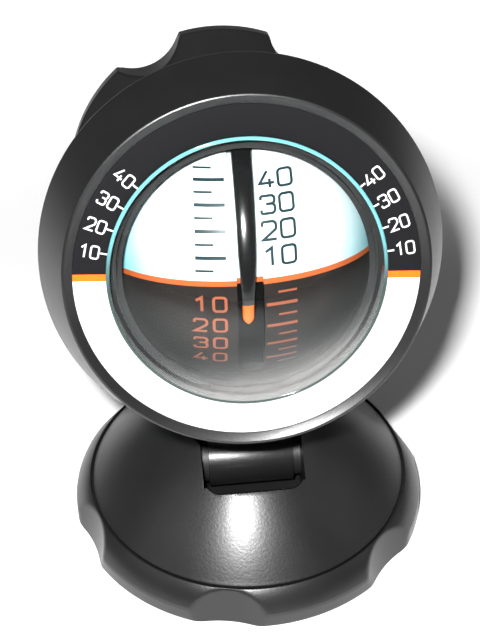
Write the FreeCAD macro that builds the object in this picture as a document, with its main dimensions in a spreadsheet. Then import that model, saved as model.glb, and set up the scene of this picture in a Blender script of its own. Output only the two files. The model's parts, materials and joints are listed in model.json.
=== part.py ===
import FreeCAD, Part
import math
import os
import Sketcher

# A dashboard pitch and roll meter: a scalloped base, a conical turret that swivels on it, and a head that
# tilts in the turret and turns in its yoke. Inside the head's sealed capsule a ball rolls about the head's
# axis, and a weighted pointer pitches inside the ball.
#
# Frame: origin on the surface it stands on, under the swivel axis. +Z is up and the face looks towards -Y.
# The head's own frame has its origin in the middle of the printed ring's face. Its +Y runs back along the
# head's axis, so lengths called "back" are measured behind the face.
# The ball's and the pointer's frames have their origin at the middle of the ball.

SIZES = {
    # Pose of the head
    "tilt_rest": 19.57,
    "roll_rest": 4.0,
    "hinge_forward": 5.0,
    "hinge_rise": 17.5,
    "hinge_back": 24.34,
    "arm_length": 15.25,
    "arm_root_step": 2.1,
    # Clearances
    "seat_gap": 0.05,
    "running_gap": 0.08,
    "slide_gap": 0.25,
    # Base
    "pad_inset": 1.0,
    "pad_depth": 1.2,
    "base_radius": 38.9,
    "base_bottom": 0.15,
    "base_edge": 3.5,
    "base_bevel": 0.6,
    "base_turn": -12.2,
    "rim_width": 3.7,
    "seam_rise": 8.4,
    "deck_rise": 7.4,
    "deck_wall": 1.5,
    "deck_ledge": 3.7,
    "plate_inset": 1.2,
    "plate_wall": 2.0,
    "base_post_inset": 6.5,
    "base_post_radius": 3.0,
    "screw_count": 3,
    # Scalloped rims
    "scallop_count": 6,
    "base_scallop_reach": 21.4,
    "base_scallop_radius": 23.3,
    "cap_scallop_reach": 6.1,
    "cap_scallop_radius": 10.6,
    # Turret
    "seam_gap": 0.5,
    "turret_edge": 0.5,
    "turret_shoulder": 9.0,
    "turret_top_radius": 15.2,
    "turret_neck_rise": 25.4,
    "turret_top_rise": 26.2,
    "turret_bulge": 110.0,
    "turret_wall": 2.2,
    "slot_half": 10.9,
    "slot_front": 17.6,
    "slot_rear": 6.0,
    "slot_floor": 10.8,
    "slot_sill": 21.9,
    "slot_corner": 3.0,
    "cheek_wall": 2.5,
    "cheek_floor": 8.6,
    "spigot_radius": 5.0,
    "slip_radius": 13.0,
    # Swivel screw and washer
    "swivel_shank": 1.5,
    "swivel_head": 3.0,
    "swivel_head_depth": 1.4,
    "swivel_washer_radius": 7.5,
    "swivel_washer_wall": 0.9,
    "thread_wall": 0.6,
    # Hinge
    "pin_radius": 1.6,
    "pin_head": 2.9,
    "pin_head_depth": 1.9,
    "nut_across": 5.5,
    "nut_depth": 2.4,
    "arm_half": 9.1,
    "knuckle_radius": 6.0,
    "washer_radius": 5.0,
    # Yoke collar
    "collar_front": 15.1,
    "collar_rear": 22.9,
    "collar_wall": 2.27,
    "friction_ring_wall": 2.0,
    "retainer_wall": 1.5,
    "retainer_depth": 0.6,
    "retainer_reach": 1.35,
    # Bezel
    "bezel_flare": 4.95,
    "bezel_rim": 12.5,
    "bezel_rim_wall": 0.8,
    "bezel_back": 14.1,
    "bezel_chamfer": 0.8,
    "lip_inset": 1.95,
    "lip_edge": 0.3,
    "lip_height": 1.4,
    "lip_crest": 1.6,
    "lip_round": 0.5,
    # Printed ring
    "ring_wall": 1.2,
    "ring_overlap": 0.75,
    # Dome and capsule
    "ring_width": 6.5,
    "dome_wall": 2.0,
    "flange_wall": 1.8,
    "flange_gap": 0.35,
    "capsule_gap": 0.35,
    "capsule_wall": 1.45,
    "seal_inset": 4.3,
    "seal_radius": 0.5,
    "boss_radius": 5.0,
    "boss_wall": 0.6,
    "port_angle": 26.0,
    "plug_boss": 3.2,
    "plug_radius": 1.8,
    "plug_head": 2.8,
    "plug_rise": 1.6,
    "cup_radius": 5.5,
    "cup_bore": 4.4,
    "cup_rise": 1.6,
    "diaphragm_wall": 0.8,
    "lid_wall": 0.9,
    "vent_radius": 0.9,
    # Rear housing
    "housing_wall": 1.95,
    "housing_radius": 36.05,
    "housing_turn": 25.0,
    "sweep_margin": 7.45,
    "bowl_cover": 7.83,
    "shoulder_depth": 4.3,
    "shoulder_step": 1.9,
    "neck_inset": 11.65,
    "boss_gap": 0.47,
    "rear_post_ring": 15.0,
    "rear_post_radius": 3.2,
    # Rear cap
    "cap_rim_wall": 5.0,
    "cap_cone_lead": 0.5,
    "cap_bevel": 0.9,
    "cap_rim_depth": 1.9,
    "cap_hollow_gap": 4.0,
    "cap_hollow_depth": 3.5,
    "cap_seat_gap": 3.9,
    "plate_ledge": 1.5,
    "rear_plate_wall": 1.6,
    # Fasteners
    "screw_radius": 1.2,
    "screw_head": 2.5,
    "screw_head_depth": 1.2,
    # Ball
    "ball_back": 24.08,
    "fluid_gap": 2.99,
    "ball_wall": 3.0,
    "band_half": 0.55,
    "band_proud": 0.06,
    "groove_half": 2.6,
    "groove_depth": 1.6,
    "groove_low": 52.0,
    "groove_high": 148.0,
    "spoke_slot_half": 1.4,
    "spoke_slot_low": 39.0,
    "spoke_slot_high": 141.0,
    "ballast_depth": 6.4,
    "axle_radius": 1.2,
    "hub_radius": 4.0,
    "hub_depth": 5.0,
    "bush_radius": 3.0,
    "bush_depth": 3.0,
    "stone_wall": 0.6,
    "cross_axle_radius": 1.0,
    "socket_radius": 2.5,
    "socket_depth": 2.0,
    # Pointer
    "arm_thickness": 2.0,
    "arm_clearance": 0.6,
    "arm_end": 94.0,
    "arm_top_half": 1.95,
    "arm_mid_half": 1.74,
    "arm_mid_rise": 15.4,
    "arm_tip_half": 1.24,
    "arm_waist_rise": 6.4,
    "tip_low": 3.1,
    "tip_sweep": 7.9,
    "spoke_half": 1.0,
    "spoke_depth": 1.6,
    "pointer_hub": 3.2,
    "pointer_hub_half": 3.2,
    "pointer_bush": 1.9,
    "weight_radius": 4.2,
    "weight_half": 4.5,
    "weight_drop": 12.0,
    "weight_back": 1.38,
    "weight_rod": 1.0,
}

ROUND = 360.0
document = FreeCAD.newDocument("inclinometer")
sheet = document.addObject("Spreadsheet::Sheet", "sizes")
for row, (name, number) in enumerate(SIZES.items(), start=1):
    sheet.set("A%d" % row, name)
    sheet.set("B%d" % row, str(number))
    sheet.setAlias("B%d" % row, name)
document.recompute()


class Size:
    """A number together with the expression that gives it from the sheet."""

    def __init__(self, value, text):
        self.value = value
        self.text = text

    def __add__(self, other):
        other = as_size(other)
        return Size(self.value + other.value, "(%s + %s)" % (self.text, other.text))

    def __sub__(self, other):
        other = as_size(other)
        return Size(self.value - other.value, "(%s - %s)" % (self.text, other.text))

    def __mul__(self, other):
        other = as_size(other)
        return Size(self.value * other.value, "(%s * %s)" % (self.text, other.text))

    def __truediv__(self, other):
        other = as_size(other)
        return Size(self.value / other.value, "(%s / %s)" % (self.text, other.text))

    def __neg__(self):
        return Size(-self.value, "(0 - %s)" % self.text)


def as_size(number):
    """A plain number as a Size, so that both kinds mix in sums."""
    return number if isinstance(number, Size) else Size(float(number), repr(float(number)))


def root(number):
    """The square root of a Size."""
    return Size(math.sqrt(number.value), "sqrt(%s)" % number.text)


def reach(radius, offset):
    """How far from its middle a circle of this radius is at this offset."""
    return root(radius * radius - offset * offset)


class Sheet:
    """Gives each named size of the sheet as an attribute."""

    def __getattr__(self, name):
        return Size(float(sheet.get(name)), "sizes.%s" % name)


s = Sheet()
parts = {}

# Sizes that follow from the sheet's: from the rear housing inwards to the ball, and out to the bezel
bezel_radius = s.housing_radius + s.bezel_flare
lip_radius = s.housing_radius - s.lip_inset
dome_radius = lip_radius - s.ring_width
ring_radius = lip_radius + s.ring_overlap
flange_radius = ring_radius - s.flange_gap
seal_ring = flange_radius - s.seal_inset
capsule_outside = s.housing_radius - s.housing_wall - s.capsule_gap
capsule_radius = capsule_outside - s.capsule_wall
ball_radius = capsule_radius - s.fluid_gap
hinge_drop = s.housing_radius + s.arm_length
housing_sweep = capsule_outside + s.sweep_margin
housing_end = s.ball_back + capsule_outside - s.bowl_cover
stone_back = s.ball_back + capsule_radius + s.bush_depth + s.stone_wall
boss_back = stone_back + s.boss_wall
neck_back = housing_end + s.shoulder_depth
neck_end = boss_back + s.boss_gap + s.housing_wall
neck_radius = s.housing_radius - s.neck_inset
neck_shoulder = neck_radius + s.shoulder_step
cap_hollow = neck_radius + s.cap_hollow_gap
rear_plate_radius = cap_hollow + s.plate_ledge
cap_radius = rear_plate_radius + s.cap_rim_wall
cap_cone_end = neck_end - s.cap_cone_lead
cap_hollow_front = neck_end - s.cap_hollow_depth
cap_seat = neck_end + s.cap_seat_gap
cap_back = cap_seat + s.cap_rim_depth
base_scallop_ring = s.base_radius + s.base_scallop_reach
cap_scallop_ring = cap_radius + s.cap_scallop_reach
plug_reach = capsule_outside + s.plug_rise
cup_reach = capsule_outside + s.cup_rise
screw_bore = s.screw_radius + s.seat_gap

# Sizes that follow from the base's radius inwards
seam_radius = s.base_radius - s.rim_width
turret_radius = seam_radius - s.seam_gap
deck_span = seam_radius - s.deck_ledge
base_post_ring = deck_span - s.base_post_inset
plate_radius = seam_radius - s.plate_inset
pad_radius = plate_radius - s.pad_inset


def keep(name, item):
    """Names a finished sub-part, which is written out under that name."""
    item.Label = name
    parts[name] = item
    return item


def role_plane(body, role):
    """An origin plane or axis of a body, found by its role."""
    return [item for item in body.Origin.OriginFeatures if item.Role == role][0]


def new_sketch(body, role):
    """An empty sketch on one of the body's own origin planes."""
    sketch = body.newObject("Sketcher::SketchObject", "outline")
    sketch.AttachmentSupport = [(role_plane(body, role), "")]
    sketch.MapMode = "FlatFace"
    return sketch


def fix(sketch, kind, item, end, number):
    """Ties one coordinate of a sketch point to a Size."""
    index = sketch.addConstraint(Sketcher.Constraint(kind, -1, 1, item, end, number.value))
    sketch.setExpression("Constraints[%d]" % index, number.text)


def outline(sketch, points):
    """Draws a closed outline.

    Each point is (across, up), or (across, up, centre) where the edge to the next point is an arc of under
    half a turn about that centre.
    """
    corners = [tuple(as_size(value) for value in point[:2]) for point in points]
    ends = []
    for index, point in enumerate(points):
        start = corners[index]
        stop = corners[(index + 1) % len(corners)]
        first = FreeCAD.Vector(start[0].value, start[1].value, 0)
        last = FreeCAD.Vector(stop[0].value, stop[1].value, 0)
        if len(point) == 2:
            item = sketch.addGeometry(Part.LineSegment(first, last), False)
            ends.append((item, 1, 2))
            continue
        centre = tuple(as_size(value) for value in point[2])
        middle = FreeCAD.Vector(centre[0].value, centre[1].value, 0)
        before = math.atan2(first.y - middle.y, first.x - middle.x)
        after = math.atan2(last.y - middle.y, last.x - middle.x)
        turn = (after - before) % (2 * math.pi)
        forward = turn < math.pi
        low, high = (before, before + turn) if forward else (after, after + 2 * math.pi - turn)
        circle = Part.Circle(middle, FreeCAD.Vector(0, 0, 1), (first - middle).Length)
        item = sketch.addGeometry(Part.ArcOfCircle(circle, low, high), False)
        ends.append((item, 1, 2) if forward else (item, 2, 1))
        flat = abs(last.x - first.x) > abs(last.y - first.y)
        fix(sketch, "DistanceY" if flat else "DistanceX", item, 3, centre[1] if flat else centre[0])
    for index, (item, head, tail) in enumerate(ends):
        after_item, after_head, _ = ends[(index + 1) % len(ends)]
        sketch.addConstraint(Sketcher.Constraint("Coincident", item, tail, after_item, after_head))
        fix(sketch, "DistanceX", item, head, corners[index][0])
        fix(sketch, "DistanceY", item, head, corners[index][1])


def circle_outline(sketch, across, up, radius):
    """Draws a circle tied to three sizes."""
    across, up, radius = as_size(across), as_size(up), as_size(radius)
    middle = FreeCAD.Vector(across.value, up.value, 0)
    item = sketch.addGeometry(Part.Circle(middle, FreeCAD.Vector(0, 0, 1), radius.value), False)
    fix(sketch, "DistanceX", item, 3, across)
    fix(sketch, "DistanceY", item, 3, up)
    index = sketch.addConstraint(Sketcher.Constraint("Radius", item, radius.value))
    sketch.setExpression("Constraints[%d]" % index, radius.text)


def new_body(name):
    """An empty body that may hold several separate solids."""
    body = document.addObject("PartDesign::Body", name)
    body.AllowCompound = True
    return body


def turned(name, points, upright=False, angle=ROUND):
    """A body turned from a closed outline.

    The outline's points are (along, out): along the Y axis, or along Z where the body stands upright.
    """
    body = new_body(name)
    sketch = new_sketch(body, "XZ_Plane" if upright else "YZ_Plane")
    if upright:
        outline(sketch, [swap(point) for point in points])
    else:
        outline(sketch, points)
    feature = body.newObject("PartDesign::Revolution", "turn")
    feature.Profile = sketch
    feature.ReferenceAxis = (sketch, ["V_Axis" if upright else "H_Axis"])
    feature.Angle = angle
    document.recompute()
    return body


def swap(point):
    """The same outline point with its two coordinates the other way round."""
    if len(point) == 2:
        return (point[1], point[0])
    return (point[1], point[0], (point[2][1], point[2][0]))


def cut_ring_of_circles(body, role, axis, ring, radius, phase, count):
    """Cuts evenly spaced round flutes right through a body."""
    sketch = new_sketch(body, role)
    middle = FreeCAD.Vector(math.sin(math.radians(phase)), math.cos(math.radians(phase)), 0)
    circle_outline(sketch, ring * middle.x, ring * middle.y, radius)
    before = body.Shape.Volume
    pocket = body.newObject("PartDesign::Pocket", "flute")
    pocket.Profile = sketch
    pocket.Type = "ThroughAll"
    pocket.Midplane = True
    document.recompute()
    if body.Shape.Volume >= before:
        raise RuntimeError("the flute cuts nothing in " + body.Label)
    around(body, pocket, axis, count)


def around(body, feature, axis, count):
    """Repeats a feature evenly round one of the body's origin axes."""
    pattern = body.newObject("PartDesign::PolarPattern", "pattern")
    pattern.Originals = [feature]
    pattern.Axis = (role_plane(body, axis), [""])
    pattern.Angle = ROUND
    pattern.setExpression("Occurrences", count.text)
    body.Tip = pattern
    document.recompute()


def bar(name, radius, start, length, axis, across=0.0, up=0.0, sweep=ROUND, first=0.0):
    """A round bar along X, Y or Z, which may be a sector of one turn.

    It starts at the given distance along its axis. across and up place it off that axis. A sector begins at
    the first angle, counted about that axis.
    """
    radius, start, length, sweep = as_size(radius), as_size(start), as_size(length), as_size(sweep)
    across, up, first = as_size(across).value, as_size(up).value, as_size(first).value
    item = document.addObject("Part::Cylinder", name)
    item.setExpression("Radius", radius.text)
    item.setExpression("Height", length.text)
    item.setExpression("Angle", sweep.text)
    to_own_axis = {
        "x": FreeCAD.Rotation(FreeCAD.Vector(1, 1, 1), 120),
        "y": FreeCAD.Rotation(FreeCAD.Vector(1, 1, 1), -120),
        "z": FreeCAD.Rotation(),
    }[axis]
    base = {
        "x": FreeCAD.Vector(start.value, across, up),
        "y": FreeCAD.Vector(across, start.value, up),
        "z": FreeCAD.Vector(across, up, start.value),
    }[axis]
    spin = FreeCAD.Rotation(FreeCAD.Vector(0, 0, 1), first)
    item.Placement = FreeCAD.Placement(base, to_own_axis * spin)
    return item


def block(name, low, high):
    """A box between two corners."""
    low = [as_size(value) for value in low]
    high = [as_size(value) for value in high]
    item = document.addObject("Part::Box", name)
    for index, side in enumerate(("Length", "Width", "Height")):
        item.setExpression(side, (high[index] - low[index]).text)
    for index, coordinate in enumerate("xyz"):
        item.setExpression("Placement.Base." + coordinate, low[index].text)
    return item


def without(name, base, *tools):
    """A solid with one or more tools cut away from it."""
    result = base
    for tool in tools:
        step = document.addObject("Part::Cut", name)
        step.Base = result
        step.Tool = tool
        step.Refine = True
        result = step
    document.recompute()
    return result


def joined(name, *items):
    """Solids fused into one."""
    result = document.addObject("Part::MultiFuse", name)
    result.Shapes = list(items)
    result.Refine = True
    document.recompute()
    return result


def shared(name, first, second):
    """The space that two solids share."""
    result = document.addObject("Part::Common", name)
    result.Base = first
    result.Tool = second
    document.recompute()
    return result


def bulge_centre(first, last, radius):
    """The centre of a shallow arc between two outline points, on the side of the axis."""
    along = (last[0] - first[0], last[1] - first[1])
    chord = root(along[0] * along[0] + along[1] * along[1])
    drop = root(radius * radius - chord * chord / 4) / chord
    middle = ((first[0] + last[0]) / 2, (first[1] + last[1]) / 2)
    return (middle[0] + along[1] * drop, middle[1] - along[0] * drop)


def slanted(item, angle, middle):
    """Swings an item that lies along Y up by an angle about the middle of the ball."""
    swing = FreeCAD.Rotation(FreeCAD.Vector(1, 0, 0), angle)
    place = FreeCAD.Placement(FreeCAD.Vector(0, middle.value, 0), swing)
    item.Placement = place.multiply(item.Placement)
    return item


# Adhesive pad under the base
keep("adhesive_pad", turned("adhesive_pad", [
    (0, 0),
    (0, pad_radius),
    (s.pad_depth, pad_radius),
    (s.pad_depth, 0),
], upright=True))

# Base plate with three countersunk holes
plate_top = s.pad_depth + s.plate_wall
base_plate = turned("base_plate", [
    (s.pad_depth, 0),
    (s.pad_depth, plate_radius),
    (plate_top, plate_radius),
    (plate_top, 0),
], upright=True)


def stepped_holes(body, ring, start, stop, head, head_depth, shank, along_y):
    """Cuts screw holes, each with a wide mouth for the head, and repeats them round the body."""
    for radius, depth in ((head, head_depth), (shank, stop - start)):
        sketch = new_sketch(body, "XZ_Plane" if along_y else "XY_Plane")
        circle_outline(sketch, 0, ring, radius)
        sketch.AttachmentOffset = FreeCAD.Placement(
            FreeCAD.Vector(0, 0, -start.value if along_y else start.value), FreeCAD.Rotation())
        before = body.Shape.Volume
        pocket = body.newObject("PartDesign::Pocket", "hole")
        pocket.Profile = sketch
        pocket.setExpression("Length", depth.text)
        pocket.Reversed = not along_y
        document.recompute()
        if body.Shape.Volume >= before:
            pocket.Reversed = along_y
            document.recompute()
        if body.Shape.Volume >= before:
            raise RuntimeError("the hole cuts nothing in " + body.Label)
        around(body, pocket, "Y_Axis" if along_y else "Z_Axis", s.screw_count)


stepped_holes(base_plate, base_post_ring, s.pad_depth, plate_top,
              s.screw_head + s.seat_gap, s.screw_head_depth, screw_bore, False)
keep("base_plate", base_plate)

# Scalloped base ring: outer wall, sloping top, seam, and the deck that carries the turret
deck_under = s.deck_rise - s.deck_wall
base_ring = turned("base_ring", [
    (s.base_bottom, plate_radius + s.running_gap),
    (s.base_bottom, s.base_radius),
    (s.base_edge, s.base_radius),
    (s.base_edge + s.base_bevel, s.base_radius - s.base_bevel),
    (s.seam_rise, seam_radius + s.slide_gap),
    (s.seam_rise, seam_radius),
    (s.deck_rise, seam_radius),
    (s.deck_rise, s.spigot_radius + s.running_gap),
    (deck_under, s.spigot_radius + s.running_gap),
    (deck_under, deck_span),
    (plate_top, deck_span),
    (plate_top, plate_radius + s.running_gap),
], upright=True)


def posts(body, ring, radius, start, stop, along_y):
    """Adds screw posts round a body."""
    sketch = new_sketch(body, "XZ_Plane" if along_y else "XY_Plane")
    circle_outline(sketch, 0, ring, radius)
    circle_outline(sketch, 0, ring, screw_bore)
    sketch.AttachmentOffset = FreeCAD.Placement(
        FreeCAD.Vector(0, 0, -start.value if along_y else start.value), FreeCAD.Rotation())
    pad = body.newObject("PartDesign::Pad", "post")
    pad.Profile = sketch
    pad.setExpression("Length", (stop - start).text)
    pad.Reversed = along_y
    document.recompute()
    around(body, pad, "Y_Axis" if along_y else "Z_Axis", s.screw_count)


posts(base_ring, base_post_ring, s.base_post_radius, plate_top, deck_under, False)
cut_ring_of_circles(base_ring, "XY_Plane", "Z_Axis", base_scallop_ring, s.base_scallop_radius,
                    180 - s.base_turn.value, s.scallop_count)
keep("base_ring", base_ring)


def screws(name, ring, start, stop, head, head_depth, shank, along_y):
    """Identical screws round an axis, heads at the start, as one group of solids."""
    body = new_body(name)
    sketch = new_sketch(body, "YZ_Plane")
    neck = start + head_depth
    flat = [
        (start, ring), (start, ring + head), (neck, ring + head),
        (neck, ring + shank), (stop, ring + shank), (stop, ring),
    ]
    if along_y:
        outline(sketch, flat)
    else:
        outline(sketch, [swap(point) for point in flat])
    near, far = ((start, ring), (stop, ring)) if along_y else ((ring, start), (ring, stop))
    spine = sketch.addGeometry(Part.LineSegment(
        FreeCAD.Vector(near[0].value, near[1].value, 0),
        FreeCAD.Vector(far[0].value, far[1].value, 0)), True)
    for end, corner in ((1, near), (2, far)):
        fix(sketch, "DistanceX", spine, end, corner[0])
        fix(sketch, "DistanceY", spine, end, corner[1])
    turn = body.newObject("PartDesign::Revolution", "turn")
    turn.Profile = sketch
    turn.ReferenceAxis = (sketch, ["Axis0"])
    turn.Angle = ROUND
    document.recompute()
    around(body, turn, "Y_Axis" if along_y else "Z_Axis", s.screw_count)
    return body


keep("base_screws", screws("base_screws", base_post_ring, s.pad_depth, deck_under,
                           s.screw_head, s.screw_head_depth, s.screw_radius, False))

# Turret: a hollow cone with a well for the hinge
cone_foot = (s.turret_shoulder, turret_radius - s.turret_edge)
cone_head = (s.turret_neck_rise, s.turret_top_radius)
cone_centre = bulge_centre(cone_foot, cone_head, s.turret_bulge)
turret_bottom = s.deck_rise + s.slide_gap
flank_wall = s.turret_wall * 1.35
cone_outside = [
    (turret_bottom, turret_radius),
    (s.turret_shoulder - s.turret_edge, turret_radius),
    cone_foot + (cone_centre,),
    cone_head,
    (s.turret_top_rise, s.turret_top_radius - s.turret_edge * 2),
    (s.turret_top_rise, 0),
]
turret_form = turned("turret_form", cone_outside + [(turret_bottom, 0)], upright=True)
hollow_top = s.turret_top_rise - s.turret_wall
slope = (cone_foot[1] - cone_head[1]) / (cone_head[0] - cone_foot[0])
turret_shell = turned("turret_shell", cone_outside + [
    (hollow_top, 0),
    (hollow_top, cone_head[1] + slope * (cone_head[0] - hollow_top) - flank_wall),
    (s.turret_shoulder, turret_radius - s.turret_edge - flank_wall),
    (turret_bottom, turret_radius - s.turret_edge - flank_wall),
], upright=True)
cheek = s.slot_half + s.cheek_wall
well_block = block("well_block", (-cheek, -s.slot_front - s.cheek_wall, s.cheek_floor),
                   (cheek, s.slot_rear + s.cheek_wall, s.turret_top_rise))
well_form = shared("well_form", well_block, turret_form)
spigot_bottom = deck_under - s.running_gap * 2
spigot = bar("spigot", s.spigot_radius, spigot_bottom, s.slot_floor - spigot_bottom, "z")
slip_top = s.deck_rise + s.seat_gap + s.swivel_washer_wall
hub_foot = bar("hub_foot", s.slip_radius, slip_top, s.slot_floor - slip_top, "z")
turret_solid = joined("turret_solid", turret_shell, well_form, spigot, hub_foot)
notch_top = s.turret_top_rise + s.turret_wall * 2
well = block("well", (-s.slot_half, -s.slot_front, s.slot_floor), (s.slot_half, s.slot_rear, notch_top))
notch_body = new_body("notch")
notch_sketch = new_sketch(notch_body, "XZ_Plane")
outline(notch_sketch, [
    (-s.slot_half + s.slot_corner, s.slot_sill),
    (s.slot_half - s.slot_corner, s.slot_sill, (s.slot_half - s.slot_corner, s.slot_sill + s.slot_corner)),
    (s.slot_half, s.slot_sill + s.slot_corner),
    (s.slot_half, notch_top),
    (-s.slot_half, notch_top),
    (-s.slot_half, s.slot_sill + s.slot_corner, (-s.slot_half + s.slot_corner, s.slot_sill + s.slot_corner)),
])
notch = notch_body.newObject("PartDesign::Pad", "notch_pad")
notch.Profile = notch_sketch
notch.setExpression("Length", turret_radius.text)
document.recompute()
pin_bore = bar("pin_bore", s.pin_radius + s.seat_gap, -turret_radius / 2, turret_radius, "x",
               -s.hinge_forward, s.hinge_rise)
swivel_bore = bar("swivel_bore", s.swivel_shank + s.seat_gap, s.pad_depth,
                  s.slot_floor - s.pad_depth - s.thread_wall, "z")
keep("turret", without("turret", turret_solid, well, notch_body, pin_bore, swivel_bore))

# Swivel: slip washer on the deck, and a screw with a washer that hold the turret down from below
keep("slip_washer", turned("slip_washer", [
    (s.deck_rise + s.seat_gap, s.spigot_radius + s.slide_gap),
    (s.deck_rise + s.seat_gap, s.slip_radius),
    (slip_top, s.slip_radius),
    (slip_top, s.spigot_radius + s.slide_gap),
], upright=True))
washer_bottom = spigot_bottom - s.swivel_washer_wall
keep("swivel_washer", turned("swivel_washer", [
    (washer_bottom, s.swivel_shank + s.seat_gap),
    (washer_bottom, s.swivel_washer_radius),
    (spigot_bottom, s.swivel_washer_radius),
    (spigot_bottom, s.swivel_shank + s.seat_gap),
], upright=True))
keep("swivel_screw", turned("swivel_screw", [
    (washer_bottom - s.swivel_head_depth, 0),
    (washer_bottom - s.swivel_head_depth, s.swivel_head),
    (washer_bottom, s.swivel_head),
    (washer_bottom, s.swivel_shank),
    (s.slot_floor - s.thread_wall - s.seat_gap, s.swivel_shank),
    (s.slot_floor - s.thread_wall - s.seat_gap, 0),
], upright=True))

# Hinge screw through both cheeks and the yoke's knuckle, with its nut
pin_length = cheek * 2 + s.nut_depth
hinge_shank = bar("hinge_shank", s.pin_radius, -cheek, pin_length, "x", -s.hinge_forward, s.hinge_rise)
hinge_head = bar("hinge_head", s.pin_head, -cheek - s.pin_head_depth, s.pin_head_depth, "x",
                 -s.hinge_forward, s.hinge_rise)
keep("hinge_screw", joined("hinge_screw", hinge_shank, hinge_head))
nut_prism = document.addObject("Part::Prism", "nut_prism")
nut_prism.Polygon = 6
nut_prism.setExpression("Circumradius", (s.nut_across / math.sqrt(3)).text)
nut_prism.setExpression("Height", s.nut_depth.text)
nut_prism.Placement = FreeCAD.Placement(
    FreeCAD.Vector(cheek.value, -s.hinge_forward.value, s.hinge_rise.value),
    FreeCAD.Rotation(FreeCAD.Vector(0, 1, 0), 90))
nut_bore = bar("nut_bore", s.pin_radius + s.seat_gap, 0, turret_radius, "x", -s.hinge_forward, s.hinge_rise)
keep("hinge_nut", without("hinge_nut", nut_prism, nut_bore))

# Yoke: a collar round the rear housing, with the hinge arm and its knuckle, in the head's frame
collar_bore = s.housing_radius + s.running_gap
collar_outside = collar_bore + s.collar_wall
yoke = turned("yoke", [
    (s.collar_front, collar_bore),
    (s.collar_front, collar_outside - s.lip_edge),
    (s.collar_front + s.lip_edge, collar_outside),
    (s.collar_rear - s.lip_edge, collar_outside),
    (s.collar_rear, collar_outside - s.lip_edge),
    (s.collar_rear, collar_bore),
])
arm_root = collar_bore + s.collar_wall / 3
arm_sketch = new_sketch(yoke, "YZ_Plane")
outline(arm_sketch, [
    (s.collar_front + s.arm_root_step, -arm_root),
    (s.collar_rear, -arm_root),
    (s.hinge_back + s.knuckle_radius * 0.55, -hinge_drop + s.knuckle_radius * 0.8),
    (s.hinge_back - s.knuckle_radius * 0.6, -hinge_drop + s.knuckle_radius * 0.6),
])
arm_pad = yoke.newObject("PartDesign::Pad", "arm")
arm_pad.Profile = arm_sketch
arm_pad.Midplane = True
arm_pad.setExpression("Length", (s.arm_half * 2).text)
document.recompute()
knuckle_sketch = new_sketch(yoke, "YZ_Plane")
circle_outline(knuckle_sketch, s.hinge_back, -hinge_drop, s.knuckle_radius)
knuckle_pad = yoke.newObject("PartDesign::Pad", "knuckle")
knuckle_pad.Profile = knuckle_sketch
knuckle_pad.Midplane = True
knuckle_pad.setExpression("Length", (s.arm_half * 2).text)
document.recompute()
bore_sketch = new_sketch(yoke, "YZ_Plane")
circle_outline(bore_sketch, s.hinge_back, -hinge_drop, s.pin_radius + s.seat_gap)
bore_pocket = yoke.newObject("PartDesign::Pocket", "bore")
bore_pocket.Profile = bore_sketch
bore_pocket.Type = "ThroughAll"
bore_pocket.Midplane = True
document.recompute()
keep("yoke", yoke)

# Two friction washers fill the slot beside the knuckle
washer_wall = s.slot_half - s.arm_half - s.seat_gap * 2
for side, name in ((-1, "washer_left"), (1, "washer_right")):
    start = (s.arm_half + s.seat_gap) if side > 0 else (-s.slot_half + s.seat_gap)
    disc = bar(name + "_disc", s.washer_radius, start, washer_wall, "x", s.hinge_back, -hinge_drop)
    hole = bar(name + "_hole", s.pin_radius + s.seat_gap, -turret_radius, turret_radius * 2, "x",
               s.hinge_back, -hinge_drop)
    keep(name, without(name, disc, hole))

# Friction ring between the bezel and the collar
keep("friction_ring", turned("friction_ring", [
    (s.bezel_back + s.seat_gap, collar_bore),
    (s.bezel_back + s.seat_gap, collar_bore + s.friction_ring_wall),
    (s.collar_front, collar_bore + s.friction_ring_wall),
    (s.collar_front, collar_bore),
]))

# Bezel: lip over the printed ring, flared outside, rim and skirt
bezel_bore = ring_radius + s.running_gap
flange_back = s.ring_wall + s.flange_wall
clamp_back = flange_back + s.flange_wall
crest = lip_radius + s.lip_crest
keep("bezel", turned("bezel", [
    (0, lip_radius),
    (-s.lip_edge, lip_radius),
    (-s.lip_height, crest),
    (-s.lip_height + s.lip_round * 0.3, crest + s.lip_round),
    (s.bezel_rim, bezel_radius),
    (s.bezel_rim + s.bezel_rim_wall, bezel_radius),
    (s.bezel_back, bezel_radius - s.bezel_chamfer),
    (s.bezel_back, s.housing_radius + s.seat_gap),
    (clamp_back, s.housing_radius + s.seat_gap),
    (clamp_back, bezel_bore),
    (0, bezel_bore),
]))

# Printed ring under the lip
keep("scale_ring", turned("scale_ring", [
    (0, dome_radius + s.running_gap),
    (0, ring_radius),
    (s.ring_wall, ring_radius),
    (s.ring_wall, dome_radius + s.running_gap),
]))

# Clear dome, part of a sphere about the middle of the ball
globe = root(dome_radius * dome_radius + s.ball_back * s.ball_back)
globe_inside = globe - s.dome_wall
skirt = dome_radius - s.dome_wall
on_axis = (s.ball_back, 0)
keep("dome_window", turned("dome_window", [
    (s.ball_back - globe, 0, on_axis),
    (0, dome_radius),
    (s.ring_wall, dome_radius),
    (s.ring_wall, flange_radius),
    (flange_back, flange_radius),
    (flange_back, skirt),
    (s.ball_back - reach(globe_inside, skirt), skirt, on_axis),
    (s.ball_back - globe_inside, 0),
]))

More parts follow.
